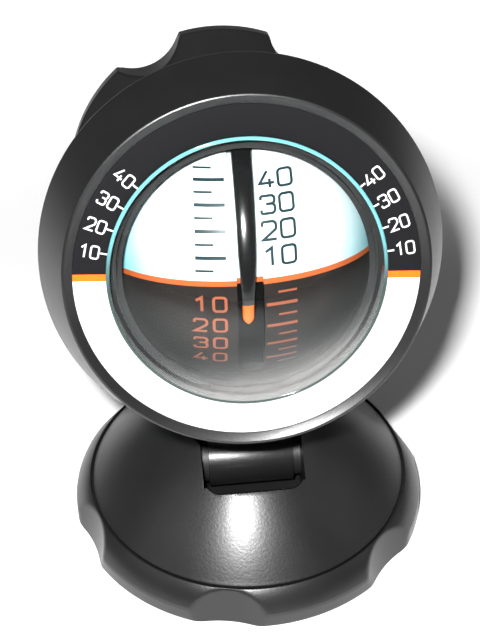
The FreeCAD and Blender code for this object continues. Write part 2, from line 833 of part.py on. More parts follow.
# Capsule bowl behind the dome, with the bearing boss and two ports
seal_low = seal_ring - s.seal_radius - s.seat_gap
seal_high = seal_ring + s.seal_radius + s.seat_gap
seal_floor = flange_back + s.seal_radius * 2 + s.seat_gap
bush_front = s.ball_back + reach(capsule_radius, s.bush_radius)
bowl_form = turned("bowl_form", [
    (flange_back, reach(capsule_radius, s.ball_back - flange_back)),
    (flange_back, seal_low),
    (seal_floor, seal_low),
    (seal_floor, seal_high),
    (flange_back, seal_high),
    (flange_back, flange_radius),
    (clamp_back, flange_radius),
    (clamp_back, reach(capsule_outside, s.ball_back - clamp_back), on_axis),
    (s.ball_back + reach(capsule_outside, s.boss_radius), s.boss_radius),
    (boss_back, s.boss_radius),
    (boss_back, 0),
    (stone_back, 0),
    (stone_back, s.bush_radius),
    (bush_front, s.bush_radius, on_axis),
])
mid_wall = capsule_radius + s.capsule_wall / 2


def port_bar(name, radius, start, stop, up):
    """A bar along one of the two slanting ports, by its distances from the middle of the ball."""
    item = bar(name, radius, start, stop - start, "y")
    return slanted(item, s.port_angle.value if up else -s.port_angle.value, s.ball_back)


plug_boss = port_bar("plug_boss", s.plug_boss, mid_wall, plug_reach, True)
plug_bore = port_bar("plug_bore", s.plug_radius, capsule_radius - s.capsule_wall, plug_reach, True)
cup_form = port_bar("cup_form", s.cup_radius, mid_wall, cup_reach, False)
cup_bore = port_bar("cup_bore", s.cup_bore, capsule_outside, cup_reach, False)
cup_port = port_bar("cup_port", s.vent_radius, capsule_radius - s.capsule_wall, cup_reach, False)
bowl_solid = joined("bowl_solid", bowl_form, plug_boss, cup_form)
keep("capsule_bowl", without("capsule_bowl", bowl_solid, plug_bore, cup_bore, cup_port))

seal = document.addObject("Part::Torus", "seal")
seal.setExpression("Radius1", seal_ring.text)
seal.setExpression("Radius2", s.seal_radius.text)
seal.Placement = FreeCAD.Placement(FreeCAD.Vector(0, (flange_back + s.seal_radius).value, 0),
                                   FreeCAD.Rotation(FreeCAD.Vector(1, 0, 0), -90))
keep("capsule_seal", seal)

plug_head = port_bar("plug_head_form", s.plug_head, plug_reach, plug_reach + s.lid_wall, True)
plug_shank = port_bar("plug_shank", s.plug_radius, capsule_radius + s.slide_gap, plug_reach, True)
keep("fill_plug", joined("fill_plug", plug_head, plug_shank))
diaphragm_seat = cup_reach - s.diaphragm_wall
keep("expansion_diaphragm", port_bar("expansion_diaphragm", s.cup_bore, diaphragm_seat, cup_reach, False))
lid_form = port_bar("lid_form", s.cup_radius, cup_reach, cup_reach + s.lid_wall, False)
lid_vent = port_bar("lid_vent", s.vent_radius, cup_reach, cup_reach + s.lid_wall * 2, False)
keep("diaphragm_cap", without("diaphragm_cap", lid_form, lid_vent))

# Bearing for the ball's roll axle
bush_back = stone_back - s.stone_wall
keep("roll_bush", turned("roll_bush", [
    (bush_front, s.axle_radius + s.seat_gap),
    (bush_front, s.bush_radius),
    (bush_back, s.bush_radius),
    (bush_back, s.axle_radius + s.seat_gap),
]))
keep("end_stone", turned("end_stone", [
    (bush_back, 0),
    (bush_back, s.bush_radius),
    (stone_back, s.bush_radius),
    (stone_back, 0),
]))

# Rear housing round the capsule, with the collar's track, the retainer's groove and the neck
sweep_centre = (s.housing_turn, s.housing_radius - housing_sweep)
sweep_inside = housing_sweep - s.housing_wall
end_offset = housing_end - s.housing_turn
retainer_front = s.collar_rear + s.slide_gap
groove_floor = s.housing_radius - s.retainer_depth
neck_inside = neck_radius - s.housing_wall
rear_housing = turned("rear_housing", [
    (clamp_back, s.housing_radius - s.housing_wall),
    (clamp_back, s.housing_radius),
    (retainer_front, s.housing_radius),
    (retainer_front, groove_floor),
    (retainer_front + s.retainer_wall, groove_floor),
    (retainer_front + s.retainer_wall, s.housing_radius),
    (s.housing_turn, s.housing_radius, sweep_centre),
    (housing_end, sweep_centre[1] + reach(housing_sweep, end_offset)),
    (neck_back, neck_shoulder),
    (neck_back, neck_radius),
    (neck_end, neck_radius),
    (neck_end, 0),
    (neck_end - s.housing_wall, 0),
    (neck_end - s.housing_wall, neck_inside),
    (neck_back - s.housing_wall, neck_inside),
    (housing_end, sweep_centre[1] + reach(sweep_inside, end_offset), sweep_centre),
    (s.housing_turn, s.housing_radius - s.housing_wall),
])
posts(rear_housing, s.rear_post_ring, s.rear_post_radius, neck_end, cap_seat, True)
keep("rear_housing", rear_housing)

# Split retaining ring behind the collar
keep("retaining_ring", turned("retaining_ring", [
    (retainer_front + s.seat_gap / 2, groove_floor + s.seat_gap),
    (retainer_front + s.seat_gap / 2, s.housing_radius + s.retainer_reach),
    (retainer_front + s.retainer_wall - s.seat_gap / 2, s.housing_radius + s.retainer_reach),
    (retainer_front + s.retainer_wall - s.seat_gap / 2, groove_floor + s.seat_gap),
], angle=340.0))

# Scalloped rear cap, gripped to set the roll zero
rear_cap = turned("rear_cap", [
    (neck_back, neck_radius + s.seat_gap),
    (neck_back, neck_shoulder),
    (cap_cone_end, cap_radius - s.cap_bevel),
    (cap_cone_end + s.cap_bevel, cap_radius),
    (cap_back - s.cap_bevel, cap_radius),
    (cap_back, cap_radius - s.cap_bevel),
    (cap_back, rear_plate_radius + s.running_gap),
    (cap_seat, rear_plate_radius + s.running_gap),
    (cap_seat, cap_hollow),
    (cap_hollow_front, cap_hollow),
    (cap_hollow_front, neck_radius + s.seat_gap),
])
cut_ring_of_circles(rear_cap, "XZ_Plane", "Y_Axis", cap_scallop_ring, s.cap_scallop_radius,
                    180.0 / s.scallop_count.value, s.scallop_count)
keep("rear_cap", rear_cap)
plate_back = cap_seat + s.rear_plate_wall
rear_plate = turned("rear_plate", [
    (cap_seat, 0),
    (cap_seat, rear_plate_radius),
    (plate_back, rear_plate_radius),
    (plate_back, 0),
])
stepped_holes(rear_plate, s.rear_post_ring, plate_back, cap_seat,
              s.screw_head + s.seat_gap, s.screw_head_depth, screw_bore, True)
keep("rear_plate", rear_plate)
keep("rear_screws", screws("rear_screws", s.rear_post_ring, plate_back, neck_end,
                           s.screw_head, -s.screw_head_depth, s.screw_radius, True))

# Ball: two hollow halves and the horizon band, in the ball's frame
ball_inside = ball_radius - s.ball_wall
ball_middle = (0, 0)


def half_shell(name, side):
    """One hollow half of the ball, above or below the horizon band."""
    edge = s.band_half * side
    pole = ball_radius * side
    inner_pole = ball_inside * side
    return turned(name, [
        (edge, reach(ball_radius, s.band_half), ball_middle),
        (pole, 0),
        (inner_pole, 0, ball_middle),
        (edge, reach(ball_inside, s.band_half)),
    ], upright=True)


def meridian_sector(name, outer, inner, half, low, high):
    """A curved strip along the front-back meridian, between two angles above the front."""
    ring = bar(name + "_outer", outer, -half, half * 2, "x", sweep=high - low, first=as_size(180) - high)
    core = bar(name + "_core", inner, -half * 2, half * 4, "x")
    return without(name, ring, core)


groove_floor_radius = ball_radius - s.groove_depth
groove = meridian_sector("groove", ball_radius * 1.2, groove_floor_radius, s.groove_half,
                         -s.groove_low, s.groove_high)
spoke_slot = meridian_sector("spoke_slot", ball_radius * 1.2, ball_inside * 0.9, s.spoke_slot_half,
                             s.spoke_slot_low, s.spoke_slot_high)
hub_back = reach(ball_radius, s.hub_radius) - s.seat_gap
hub_front = hub_back - s.hub_depth
hub_hole = bar("hub_hole", s.hub_radius + s.seat_gap, hub_front - s.seat_gap, s.hub_depth * 2, "y")
keep("ball_upper", without("ball_upper", half_shell("upper_form", 1), groove, spoke_slot, hub_hole))
keep("ball_lower", without("ball_lower", half_shell("lower_form", -1), groove, hub_hole))
band_radius = ball_radius + s.band_proud
band_form = turned("band_form", [
    (-s.band_half, ball_inside),
    (-s.band_half, band_radius),
    (s.band_half, band_radius),
    (s.band_half, ball_inside),
], upright=True)
keep("horizon_band", without("horizon_band", band_form, groove, hub_hole))

# Bearing hub in the back of the ball with the roll axle, and the ballast that keeps the ball level
keep("roll_hub", turned("roll_hub", [
    (hub_front, s.axle_radius),
    (hub_front, s.hub_radius),
    (hub_back, s.hub_radius),
    (hub_back, s.axle_radius),
]))
axle_back = capsule_radius + s.bush_depth - s.seat_gap
keep("roll_axle", bar("roll_axle", s.axle_radius, hub_front, axle_back - hub_front, "y"))
ballast_radius = ball_inside - s.seat_gap
ballast_top = s.ballast_depth - ballast_radius
keep("ballast_weight", turned("ballast_weight", [
    (ballast_top, 0),
    (ballast_top, reach(ballast_radius, ballast_top), ball_middle),
    (-ballast_radius, 0),
], upright=True))

# Cross axle for the pointer, held by a socket on each side of the ball
axle_half = reach(ball_inside, s.socket_radius) - s.seat_gap
keep("pitch_axle", bar("pitch_axle", s.cross_axle_radius, -axle_half, axle_half * 2, "x"))
for side, name in ((-1, "axle_socket_left"), (1, "axle_socket_right")):
    start = axle_half - s.socket_depth if side > 0 else -axle_half
    cup = bar(name + "_cup", s.socket_radius, start, s.socket_depth, "x")
    hole = bar(name + "_hole", s.cross_axle_radius, -ball_radius, ball_radius * 2, "x")
    keep(name, without(name, cup, hole))

# Pointer in its own upright frame: a tapered bar round the ball, its tip, the spoke, the hub and the weight
strip_inside = groove_floor_radius + s.arm_clearance
strip_outside = strip_inside + s.arm_thickness
tip_high = s.tip_low + s.tip_sweep


def planform(name):
    """The pointer's tapered outline seen from the front."""
    body = new_body(name)
    sketch = new_sketch(body, "XZ_Plane")
    outline(sketch, [
        (-s.arm_tip_half, -s.arm_waist_rise),
        (s.arm_tip_half, -s.arm_waist_rise),
        (s.arm_tip_half, s.arm_waist_rise),
        (s.arm_mid_half, s.arm_mid_rise),
        (s.arm_top_half, strip_inside),
        (s.arm_top_half, strip_outside * 1.2),
        (-s.arm_top_half, strip_outside * 1.2),
        (-s.arm_top_half, strip_inside),
        (-s.arm_mid_half, s.arm_mid_rise),
        (-s.arm_tip_half, s.arm_waist_rise),
    ])
    pad = body.newObject("PartDesign::Pad", "planform")
    pad.Profile = sketch
    pad.Midplane = True
    pad.setExpression("Length", (strip_outside * 3).text)
    document.recompute()
    return body


strip = meridian_sector("strip", strip_outside, strip_inside, s.arm_top_half * 1.5, tip_high, s.arm_end)
tapered_strip = shared("tapered_strip", strip, planform("arm_planform"))
spoke = block("spoke", (-s.spoke_half, -s.spoke_depth / 2, s.pointer_bush),
              (s.spoke_half, s.spoke_depth / 2, strip_inside + s.arm_thickness / 2))
hub_form = bar("hub_form", s.pointer_hub, -s.pointer_hub_half, s.pointer_hub_half * 2, "x")
weight_rod = bar("weight_rod", s.weight_rod, -s.weight_drop, s.weight_drop, "z")
hub_bore = bar("hub_bore", s.pointer_bush, -ball_radius, ball_radius * 2, "x")
weight_shape = bar("weight_shape", s.weight_radius, -s.weight_half, s.weight_half * 2, "x",
                   s.weight_back, -s.weight_drop)
pointer_form = joined("pointer_form", tapered_strip, spoke, hub_form, weight_rod)
keep("pointer_arm", without("pointer_arm", pointer_form, hub_bore, weight_shape))
tip_strip = meridian_sector("tip_strip", strip_outside, strip_inside, s.arm_top_half * 1.5,
                            s.tip_low, tip_high)
keep("pointer_tip", shared("pointer_tip", tip_strip, planform("tip_planform")))
bush_form = bar("bush_form", s.pointer_bush, -s.pointer_hub_half, s.pointer_hub_half * 2, "x")
bush_hole = bar("bush_hole", s.cross_axle_radius + s.seat_gap, -ball_radius, ball_radius * 2, "x")
keep("pointer_bush", without("pointer_bush", bush_form, bush_hole))
keep("pointer_weight", bar("pointer_weight", s.weight_radius, -s.weight_half, s.weight_half * 2, "x",
                           s.weight_back, -s.weight_drop))

# Poses: the base and the turret stand as drawn, the rest goes into its own frame
tilt = FreeCAD.Rotation(FreeCAD.Vector(1, 0, 0), -s.tilt_rest.value)
roll = FreeCAD.Rotation(FreeCAD.Vector(0, 1, 0), s.roll_rest.value)
hinge = FreeCAD.Vector(0, -s.hinge_forward.value, s.hinge_rise.value)
face_middle = hinge - tilt.multVec(FreeCAD.Vector(0, s.hinge_back.value, -hinge_drop.value))
yoke_place = FreeCAD.Placement(face_middle, tilt)
head_place = FreeCAD.Placement(face_middle, tilt * roll)
ball_place = FreeCAD.Placement(yoke_place.multVec(FreeCAD.Vector(0, s.ball_back.value, 0)), tilt)
pointer_place = FreeCAD.Placement(ball_place.Base, FreeCAD.Rotation())
PLACES = (
    (yoke_place, ("yoke", "washer_left", "washer_right", "friction_ring")),
    (head_place, (
        "bezel", "scale_ring", "dome_window", "capsule_bowl", "capsule_seal", "fill_plug",
        "expansion_diaphragm", "diaphragm_cap", "roll_bush", "end_stone", "rear_housing",
        "retaining_ring", "rear_cap", "rear_plate", "rear_screws",
    )),
    (ball_place, (
        "ball_upper", "ball_lower", "horizon_band", "roll_hub", "roll_axle", "ballast_weight",
        "pitch_axle", "axle_socket_left", "axle_socket_right",
    )),
    (pointer_place, ("pointer_arm", "pointer_tip", "pointer_bush", "pointer_weight")),
)
for place, names in PLACES:
    for name in names:
        parts[name].Placement = place.multiply(parts[name].Placement)
document.recompute()

os.makedirs("parts", exist_ok=True)
for item in document.Objects:
    if "Invalid" in item.State or "Error" in item.State:
        raise RuntimeError(item.Name + " did not recompute")
for name, item in parts.items():
    if item.Shape.isNull() or not item.Shape.isValid():
        raise RuntimeError(name + " has no sound shape")
    item.Shape.exportStep("parts/%s.step" % name)
    print(name, len(item.Shape.Solids), round(item.Shape.Volume, 2))
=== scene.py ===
"""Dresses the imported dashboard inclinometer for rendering.

Each sub-assembly is a class that builds its own pieces. Lengths in the classes are millimetres, and meshes
are made in metres. The head's frame has its origin in the middle of the printed ring's face, with Y running
back along the head's axis. The ball's and the pointer's frames have their origin at the middle of the ball.
"""

import json
import logging
import math
from dataclasses import dataclass, field
from enum import Enum
from typing import Callable, Optional, Sequence

import bmesh
import bpy
import numpy as np
from mathutils import Euler, Matrix, Vector


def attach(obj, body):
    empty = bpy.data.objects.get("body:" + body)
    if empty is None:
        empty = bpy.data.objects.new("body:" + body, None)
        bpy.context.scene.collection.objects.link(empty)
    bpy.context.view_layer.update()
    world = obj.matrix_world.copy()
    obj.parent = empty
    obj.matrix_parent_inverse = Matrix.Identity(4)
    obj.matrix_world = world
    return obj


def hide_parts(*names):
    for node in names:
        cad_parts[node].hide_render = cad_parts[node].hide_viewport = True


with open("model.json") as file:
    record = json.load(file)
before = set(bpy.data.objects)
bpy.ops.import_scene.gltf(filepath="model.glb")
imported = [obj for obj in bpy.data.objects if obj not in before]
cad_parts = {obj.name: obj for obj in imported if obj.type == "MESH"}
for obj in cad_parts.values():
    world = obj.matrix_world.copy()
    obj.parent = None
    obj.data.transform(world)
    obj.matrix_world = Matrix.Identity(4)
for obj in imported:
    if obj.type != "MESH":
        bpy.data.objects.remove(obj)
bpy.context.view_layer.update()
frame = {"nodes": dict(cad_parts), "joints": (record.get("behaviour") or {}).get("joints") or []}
LOG = logging.getLogger("inclinometer")
MM = 0.001
FINE_TURNS, PLAIN_TURNS, SCALLOP_TURNS = 360, 288, 720
MARKS = (10, 20, 30, 40)
BALL_RADIUS = 29.31
PRINT_DROP = 0.55
HINGE = (-5.0, 17.5)
PIN_BORE = 1.65

Point = tuple[float, float]


def put_node(tree: bpy.types.NodeTree, kind: str, settings: Optional[dict] = None,
             inputs: Optional[dict] = None) -> bpy.types.Node:
    """Adds a node to a tree.

    Args:
        tree: The node tree.
        kind: The node's type.
        settings: Its own properties, set first.
        inputs: Values, sockets or Tones by socket name or number.

    Returns:
        The node.
    """
    node = tree.nodes.new(kind)
    for key, value in (settings or {}).items():
        setattr(node, key, value)
    for key, value in (inputs or {}).items():
        source = getattr(value, "socket", value)
        if isinstance(source, bpy.types.NodeSocket):
            tree.links.new(source, node.inputs[key])
        else:
            node.inputs[key].default_value = value
    return node


# Shaders

class Tone:
    """A shader socket that takes part in sums, each of which adds a Math node."""

    def __init__(self, sketch: "ShaderSketch", socket: bpy.types.NodeSocket) -> None:
        """Wraps one output socket of a sketch."""
        self.sketch = sketch
        self.socket = socket

    def _math(self, operation: str, *values: object) -> "Tone":
        """Adds a Math node fed by the values."""
        return self.sketch.add("ShaderNodeMath", {"operation": operation}, dict(enumerate(values))).out(0)

    def __add__(self, other: object) -> "Tone":
        """Sum."""
        return self._math("ADD", self, other)

    def __sub__(self, other: object) -> "Tone":
        """Difference."""
        return self._math("SUBTRACT", self, other)

    def __rsub__(self, other: object) -> "Tone":
        """Difference with the value on the left."""
        return self._math("SUBTRACT", other, self)

    def __mul__(self, other: object) -> "Tone":
        """Product."""
        return self._math("MULTIPLY", self, other)

    def __pow__(self, other: object) -> "Tone":
        """Power."""
        return self._math("POWER", self, other)

    def __abs__(self) -> "Tone":
        """Size without its sign."""
        return self._math("ABSOLUTE", self)

    def below(self, limit: object) -> "Tone":
        """1 where this is under the limit."""
        return self._math("LESS_THAN", self, limit)

    def step(self, low: float, high: float) -> "Tone":
        """A smooth rise from 0 at low to 1 at high."""
        settings = {"interpolation_type": "SMOOTHSTEP"}
        inputs = {"Value": self, "From Min": low, "From Max": high}
        return self.sketch.add("ShaderNodeMapRange", settings, inputs).out("Result")

    __radd__ = __add__
    __rmul__ = __mul__


class Placed:
    """A node that has been put in a sketch."""

    def __init__(self, sketch: "ShaderSketch", node: bpy.types.Node) -> None:
        """Keeps the node with its sketch."""
        self.sketch = sketch
        self.node = node

    def out(self, name: object) -> Tone:
        """One of the node's outputs, by name or number."""
        return Tone(self.sketch, self.node.outputs[name])


class ShaderSketch:
    """One material's node tree."""

    def __init__(self, name: str) -> None:
        """Starts a material with an empty tree."""
        self.material = bpy.data.materials.new(name)
        self.material.use_nodes = True
        self.tree = self.material.node_tree
        self.tree.nodes.clear()

    def add(self, kind: str, settings: Optional[dict] = None, inputs: Optional[dict] = None) -> Placed:
        """Adds a node from its type, its settings and its inputs."""
        return Placed(self, put_node(self.tree, kind, settings, inputs))

    def spot(self, matrix: Optional[Matrix] = None) -> Tone:
        """The surface point in metres, in the model's frame or in the frame of a matrix."""
        coordinates = self.add("ShaderNodeTexCoord").out("Object")
        if matrix is None:
            return coordinates
        inverse = matrix.inverted()
        return self.add("ShaderNodeMapping", {"vector_type": "POINT"}, {
            "Vector": coordinates, "Location": tuple(inverse.to_translation()),
            "Rotation": tuple(inverse.to_euler()),
        }).out("Vector")

    def split(self, spot: Tone) -> tuple[Tone, Tone, Tone]:
        """A vector's three numbers."""
        node = self.add("ShaderNodeSeparateXYZ", None, {"Vector": spot})
        return node.out("X"), node.out("Y"), node.out("Z")

    def noise(self, scale: float, detail: float = 3.0) -> Tone:
        """Soft noise from 0 to 1, with its scale in cells per metre."""
        inputs = {"Vector": self.spot(), "Scale": scale, "Detail": detail}
        return self.add("ShaderNodeTexNoise", None, inputs).out(0)

    def blend(self, share: object, first: object, second: object) -> Tone:
        """Mixes two colours, the second by the share."""
        first, second = (value if isinstance(value, Tone) else (*value, 1.0) for value in (first, second))
        return self.add("ShaderNodeMix", {"data_type": "RGBA"}, {0: share, 6: first, 7: second}).out(2)

    def bump(self, height: Tone, strength: float, distance: float) -> Tone:
        """A normal from a height."""
        return self.add("ShaderNodeBump", None, {
            "Height": height, "Strength": strength, "Distance": distance}).out("Normal")

    def finish(self, shader: Placed) -> bpy.types.Material:
        """Joins a shader to the material's output and returns the material."""
        self.add("ShaderNodeOutputMaterial", None, {"Surface": shader.out(0)})
        return self.material


@dataclass(frozen=True)
class Moulded:
    """Moulded plastic with a fine texture and slightly uneven gloss."""

    name: str
    colour: tuple[float, float, float]
    roughness: float = 0.45
    uneven: float = 0.06
    grain: float = 2600.0
    relief: float = 0.00002
    strength: float = 0.25
    specular: float = 0.5

    def material(self) -> bpy.types.Material:
        """Builds the material."""
        sketch = ShaderSketch(self.name)
        cloud = sketch.noise(90.0)
        grain = sketch.noise(self.grain, 2.0)
        tint = sketch.blend(cloud.step(0.35, 0.7), tuple(c * 0.93 for c in self.colour),
                            tuple(min(1.0, c * 1.07) for c in self.colour))
        shader = sketch.add("ShaderNodeBsdfPrincipled", None, {
            "Base Color": tint,
            "Roughness": cloud * self.uneven + grain * self.uneven + (self.roughness - self.uneven),
            "Specular IOR Level": self.specular,
            "Normal": sketch.bump(grain, self.strength, self.relief),
        })
        return sketch.finish(shader)


@dataclass(frozen=True)
class Metal:
    """Turned or plated metal with fine marks along one direction."""

    name: str
    colour: tuple[float, float, float]
    roughness: float = 0.3
    marks: float = 3000.0

    def material(self) -> bpy.types.Material:
        """Builds the material."""
        sketch = ShaderSketch(self.name)
        marks = sketch.noise(self.marks, 4.0)
        stain = sketch.noise(140.0)
        shader = sketch.add("ShaderNodeBsdfPrincipled", None, {
            "Base Color": sketch.blend(stain, tuple(c * 0.82 for c in self.colour), self.colour),
            "Metallic": 1.0,
            "Roughness": marks * 0.12 + stain * 0.1 + (self.roughness - 0.1),
            "Normal": sketch.bump(marks, 0.2, 0.00001),
        })
        return sketch.finish(shader)


@dataclass(frozen=True)
class PrintedRing:
    """The flat ring's print: dark above, white below, with an orange bar on each side between them."""

    name: str
    matrix: Matrix
    drop: float
    bar_half: float
    dark: tuple[float, float, float] = (0.008, 0.008, 0.009)
    pale: tuple[float, float, float] = (0.86, 0.86, 0.85)
    orange: tuple[float, float, float] = (0.95, 0.16, 0.01)

    def material(self) -> bpy.types.Material:
        """Builds the material."""
        sketch = ShaderSketch(self.name)
        _, _, height = sketch.split(sketch.spot(self.matrix))
        level = height + self.drop * MM
        fibre = sketch.noise(1500.0, 2.0)
        ink = sketch.blend(level.step(-0.00003, 0.00003), self.pale, self.dark)
        bar = abs(level).below(self.bar_half * MM)
        shader = sketch.add("ShaderNodeBsdfPrincipled", None, {
            "Base Color": sketch.blend(bar, ink, self.orange),
            "Roughness": fibre * 0.1 + 0.5,
            "Specular IOR Level": 0.1,
            "Normal": sketch.bump(fibre, 0.08, 0.00001),
        })
        return sketch.finish(shader)


@dataclass(frozen=True)
class ClearDome:
    """Clear polished plastic that gathers colour seen edge on, with a painted floor reflection towards its
    foot.
    """

    name: str
    matrix: Matrix
    edge: tuple[float, float, float] = (0.16, 0.20, 0.21)
    haze: float = 0.42
    haze_lean: float = 0.3

    def material(self) -> bpy.types.Material:
        """Builds the material."""
        sketch = ShaderSketch(self.name)
        smear = sketch.noise(45.0, 2.0)
        facing = sketch.add("ShaderNodeLayerWeight", None, {"Blend": 0.5}).out("Facing")
        clear = sketch.add("ShaderNodeBsdfTransparent", None, {
            "Color": sketch.blend((facing ** 6.0).step(0.08, 0.7), (0.985, 0.99, 0.99), self.edge)})
        gloss = sketch.add("ShaderNodeBsdfPrincipled", None, {
            "Base Color": (0.75, 0.8, 0.8, 1.0), "Metallic": 1.0, "Roughness": smear * 0.05 + 0.02})
        outside = 1.0 - sketch.add("ShaderNodeNewGeometry").out("Backfacing")
        bounce = sketch.add("ShaderNodeFresnel", None, {"IOR": 1.49}).out(0) * outside
        surface = sketch.add("ShaderNodeMixShader", None, {
            "Fac": bounce, 1: clear.out(0), 2: gloss.out(0)})
        # Painted floor reflection: a grey matte layer over the lower part of the dome
        across, _, height = sketch.split(sketch.spot(self.matrix))
        streaks = sketch.noise(160.0, 2.0) * 0.003
        low = (across * self.haze_lean - height + streaks).step(0.008, 0.028)
        painted_floor_reflection = sketch.add("ShaderNodeBsdfPrincipled", None, {
            "Base Color": (0.62, 0.61, 0.60, 1.0), "Roughness": smear * 0.1 + 0.4})
        shader = sketch.add("ShaderNodeMixShader", None, {
            "Fac": low * low * outside * self.haze, 1: surface.out(0), 2: painted_floor_reflection.out(0)})
        return sketch.finish(shader)


@dataclass(frozen=True)
class EdgeGlow:
    """The dome's clear foot, with a painted reflection of the pale ball above, and grey-green below."""

    name: str
    matrix: Matrix
    upper: tuple[float, float, float] = (0.14, 0.42, 0.45)
    lower: tuple[float, float, float] = (0.05, 0.07, 0.065)

    def material(self) -> bpy.types.Material:
        """Builds the material."""
        sketch = ShaderSketch(self.name)
        _, _, height = sketch.split(sketch.spot(self.matrix))
        uneven = sketch.noise(260.0, 2.0) * 0.004
        # Painted reflection of the ball: pale cyan above the middle, grey-green below
        shader = sketch.add("ShaderNodeBsdfPrincipled", None, {
            "Base Color": sketch.blend((height + uneven).step(-0.002, 0.012), self.lower, self.upper),
            "Roughness": 0.08, "Coat Weight": 0.6, "Coat Roughness": 0.03})
        return sketch.finish(shader)


@dataclass(frozen=True)
class BallSkin:
    """Smooth ball plastic with a painted highlight, paler where it faces out of the dome.

    It is deeper in colour towards its edge, a painted tint of fluid seen edge on. The frame's -Y axis looks
    out of the dome.
    """

    name: str
    matrix: Matrix
    front: tuple[float, float, float]
    side: tuple[float, float, float]
    radius: float
    groove: tuple[float, float, float]
    roughness: float = 0.3
    coat: float = 0.3
    specular: float = 0.5

    def material(self) -> bpy.types.Material:
        """Builds the material."""
        sketch = ShaderSketch(self.name)
        spot = sketch.spot(self.matrix)
        _, depth, _ = sketch.split(spot)
        reach = sketch.add("ShaderNodeVectorMath", {"operation": "LENGTH"}, {0: spot}).out("Value")
        # Painted highlight: the front colour where the surface faces out of the dome, the side colour towards
        # the edge as painted fluid tint
        painted_highlight_facing = depth * (-1.0 / (self.radius * MM))
        cloud = sketch.noise(120.0, 2.0)
        skin = sketch.blend(painted_highlight_facing.step(0.36, 0.92), self.side, self.front)
        shader = sketch.add("ShaderNodeBsdfPrincipled", None, {
            # Inside the groove the colour is darker: painted shade in the recess
            "Base Color": sketch.blend(reach.below((self.radius - 0.2) * MM), skin, self.groove),
            "Roughness": cloud * 0.06 + (self.roughness - 0.03),
            "Normal": sketch.bump(cloud, 0.02, 0.00001),
            "Coat Weight": self.coat,
            "Coat Roughness": 0.1,
            "Specular IOR Level": self.specular,
        })
        return sketch.finish(shader)


@dataclass(frozen=True)
class Backdrop:
    """A pale stage that the camera sees as white and that still takes the object's shadow."""

    name: str
    colour: tuple[float, float, float] = (0.9, 0.9, 0.9)
    glow: float = 0.9
    shade_glow: float = 0.02
    mirrored: float = 0.15

    def material(self) -> bpy.types.Material:
        """Builds the material."""
        sketch = ShaderSketch(self.name)
        path = sketch.add("ShaderNodeLightPath")
        reach = sketch.add("ShaderNodeVectorMath", {"operation": "LENGTH"}, {0: sketch.spot()}).out("Value")
        far = reach.step(0.09, 0.26)
        # Near the object the stage glows for reflected rays: a painted pool of flash light in what the object
        # reflects
        seen = (path.out("Is Camera Ray") * (far * self.glow + self.shade_glow)
                + path.out("Is Glossy Ray") * (1.0 - far * 0.85) * self.mirrored)
        matte = sketch.add("ShaderNodeBsdfPrincipled", None, {
            "Base Color": (*self.colour, 1.0), "Roughness": 0.9, "Specular IOR Level": 0.1,
            "Emission Color": (1.0, 1.0, 1.0, 1.0), "Emission Strength": seen})
        return sketch.finish(matte)


# Meshes

def rounded(corners: Sequence[tuple], fine: int = 5) -> list[Point]:
    """Rounds the corners of a closed outline.

    Args:
        corners: (along, out) or (along, out, radius) for each corner.
        fine: Points in each rounded corner.

    Returns:
        The outline's points.
    """
    points: list[Point] = []
    count = len(corners)
    for index, corner in enumerate(corners):
        here = np.array(corner[:2], float)
        radius = corner[2] if len(corner) > 2 else 0.0
        before = np.array(corners[index - 1][:2], float) - here
        after = np.array(corners[(index + 1) % count][:2], float) - here
        if radius <= 0 or not before.any() or not after.any():
            points.append((float(here[0]), float(here[1])))
            continue
        before_length, after_length = np.linalg.norm(before), np.linalg.norm(after)
        before, after = before / before_length, after / after_length
        half = math.acos(max(-1.0, min(1.0, float(before @ after)))) / 2
        reach = min(radius / math.tan(half), before_length * 0.49, after_length * 0.49)
        radius = reach * math.tan(half)
        middle = here + (before + after) / np.linalg.norm(before + after) * (radius / math.sin(half))
        start, stop = here + before * reach - middle, here + after * reach - middle
        sweep = math.acos(max(-1.0, min(1.0, float(start @ stop) / radius ** 2)))
        turn = math.copysign(sweep, start[0] * stop[1] - start[1] * stop[0])
        for step in range(fine + 1):
            angle = turn * step / fine
            across = np.array([start[0] * math.cos(angle) - start[1] * math.sin(angle),
                               start[0] * math.sin(angle) + start[1] * math.cos(angle)])
            points.append(tuple(float(v) for v in middle + across))
    return points


def arc(centre: float, radius: float, low: float, high: float, steps: int) -> list[Point]:
    """Outline points on a circle about (centre, 0), by the angle from the front."""
    return [(centre - radius * math.cos(math.radians(a)), radius * math.sin(math.radians(a)))
            for a in np.linspace(low, high, steps)]


def fill_between(first: Point, last: Point, steps: int) -> list[Point]:
    """Evenly spaced points between two, without the ends."""
    return [tuple(low + (high - low) * k / (steps + 1) for low, high in zip(first, last))
            for k in range(1, steps + 1)]


def mesh_object(name: str, points: np.ndarray, faces: Sequence[Sequence[int]],
                crisp: float = 32.0) -> bpy.types.Object:
    """Makes an object from points in metres, smooth except over edges sharper than crisp degrees."""
    mesh = bpy.data.meshes.new(name)
    mesh.from_pydata([tuple(p) for p in points], [], [tuple(f) for f in faces])
    mesh.validate()
    mesh.shade_smooth()
    mesh.set_sharp_from_angle(angle=math.radians(crisp))
    item = bpy.data.objects.new(name, mesh)
    bpy.context.scene.collection.objects.link(item)
    return item


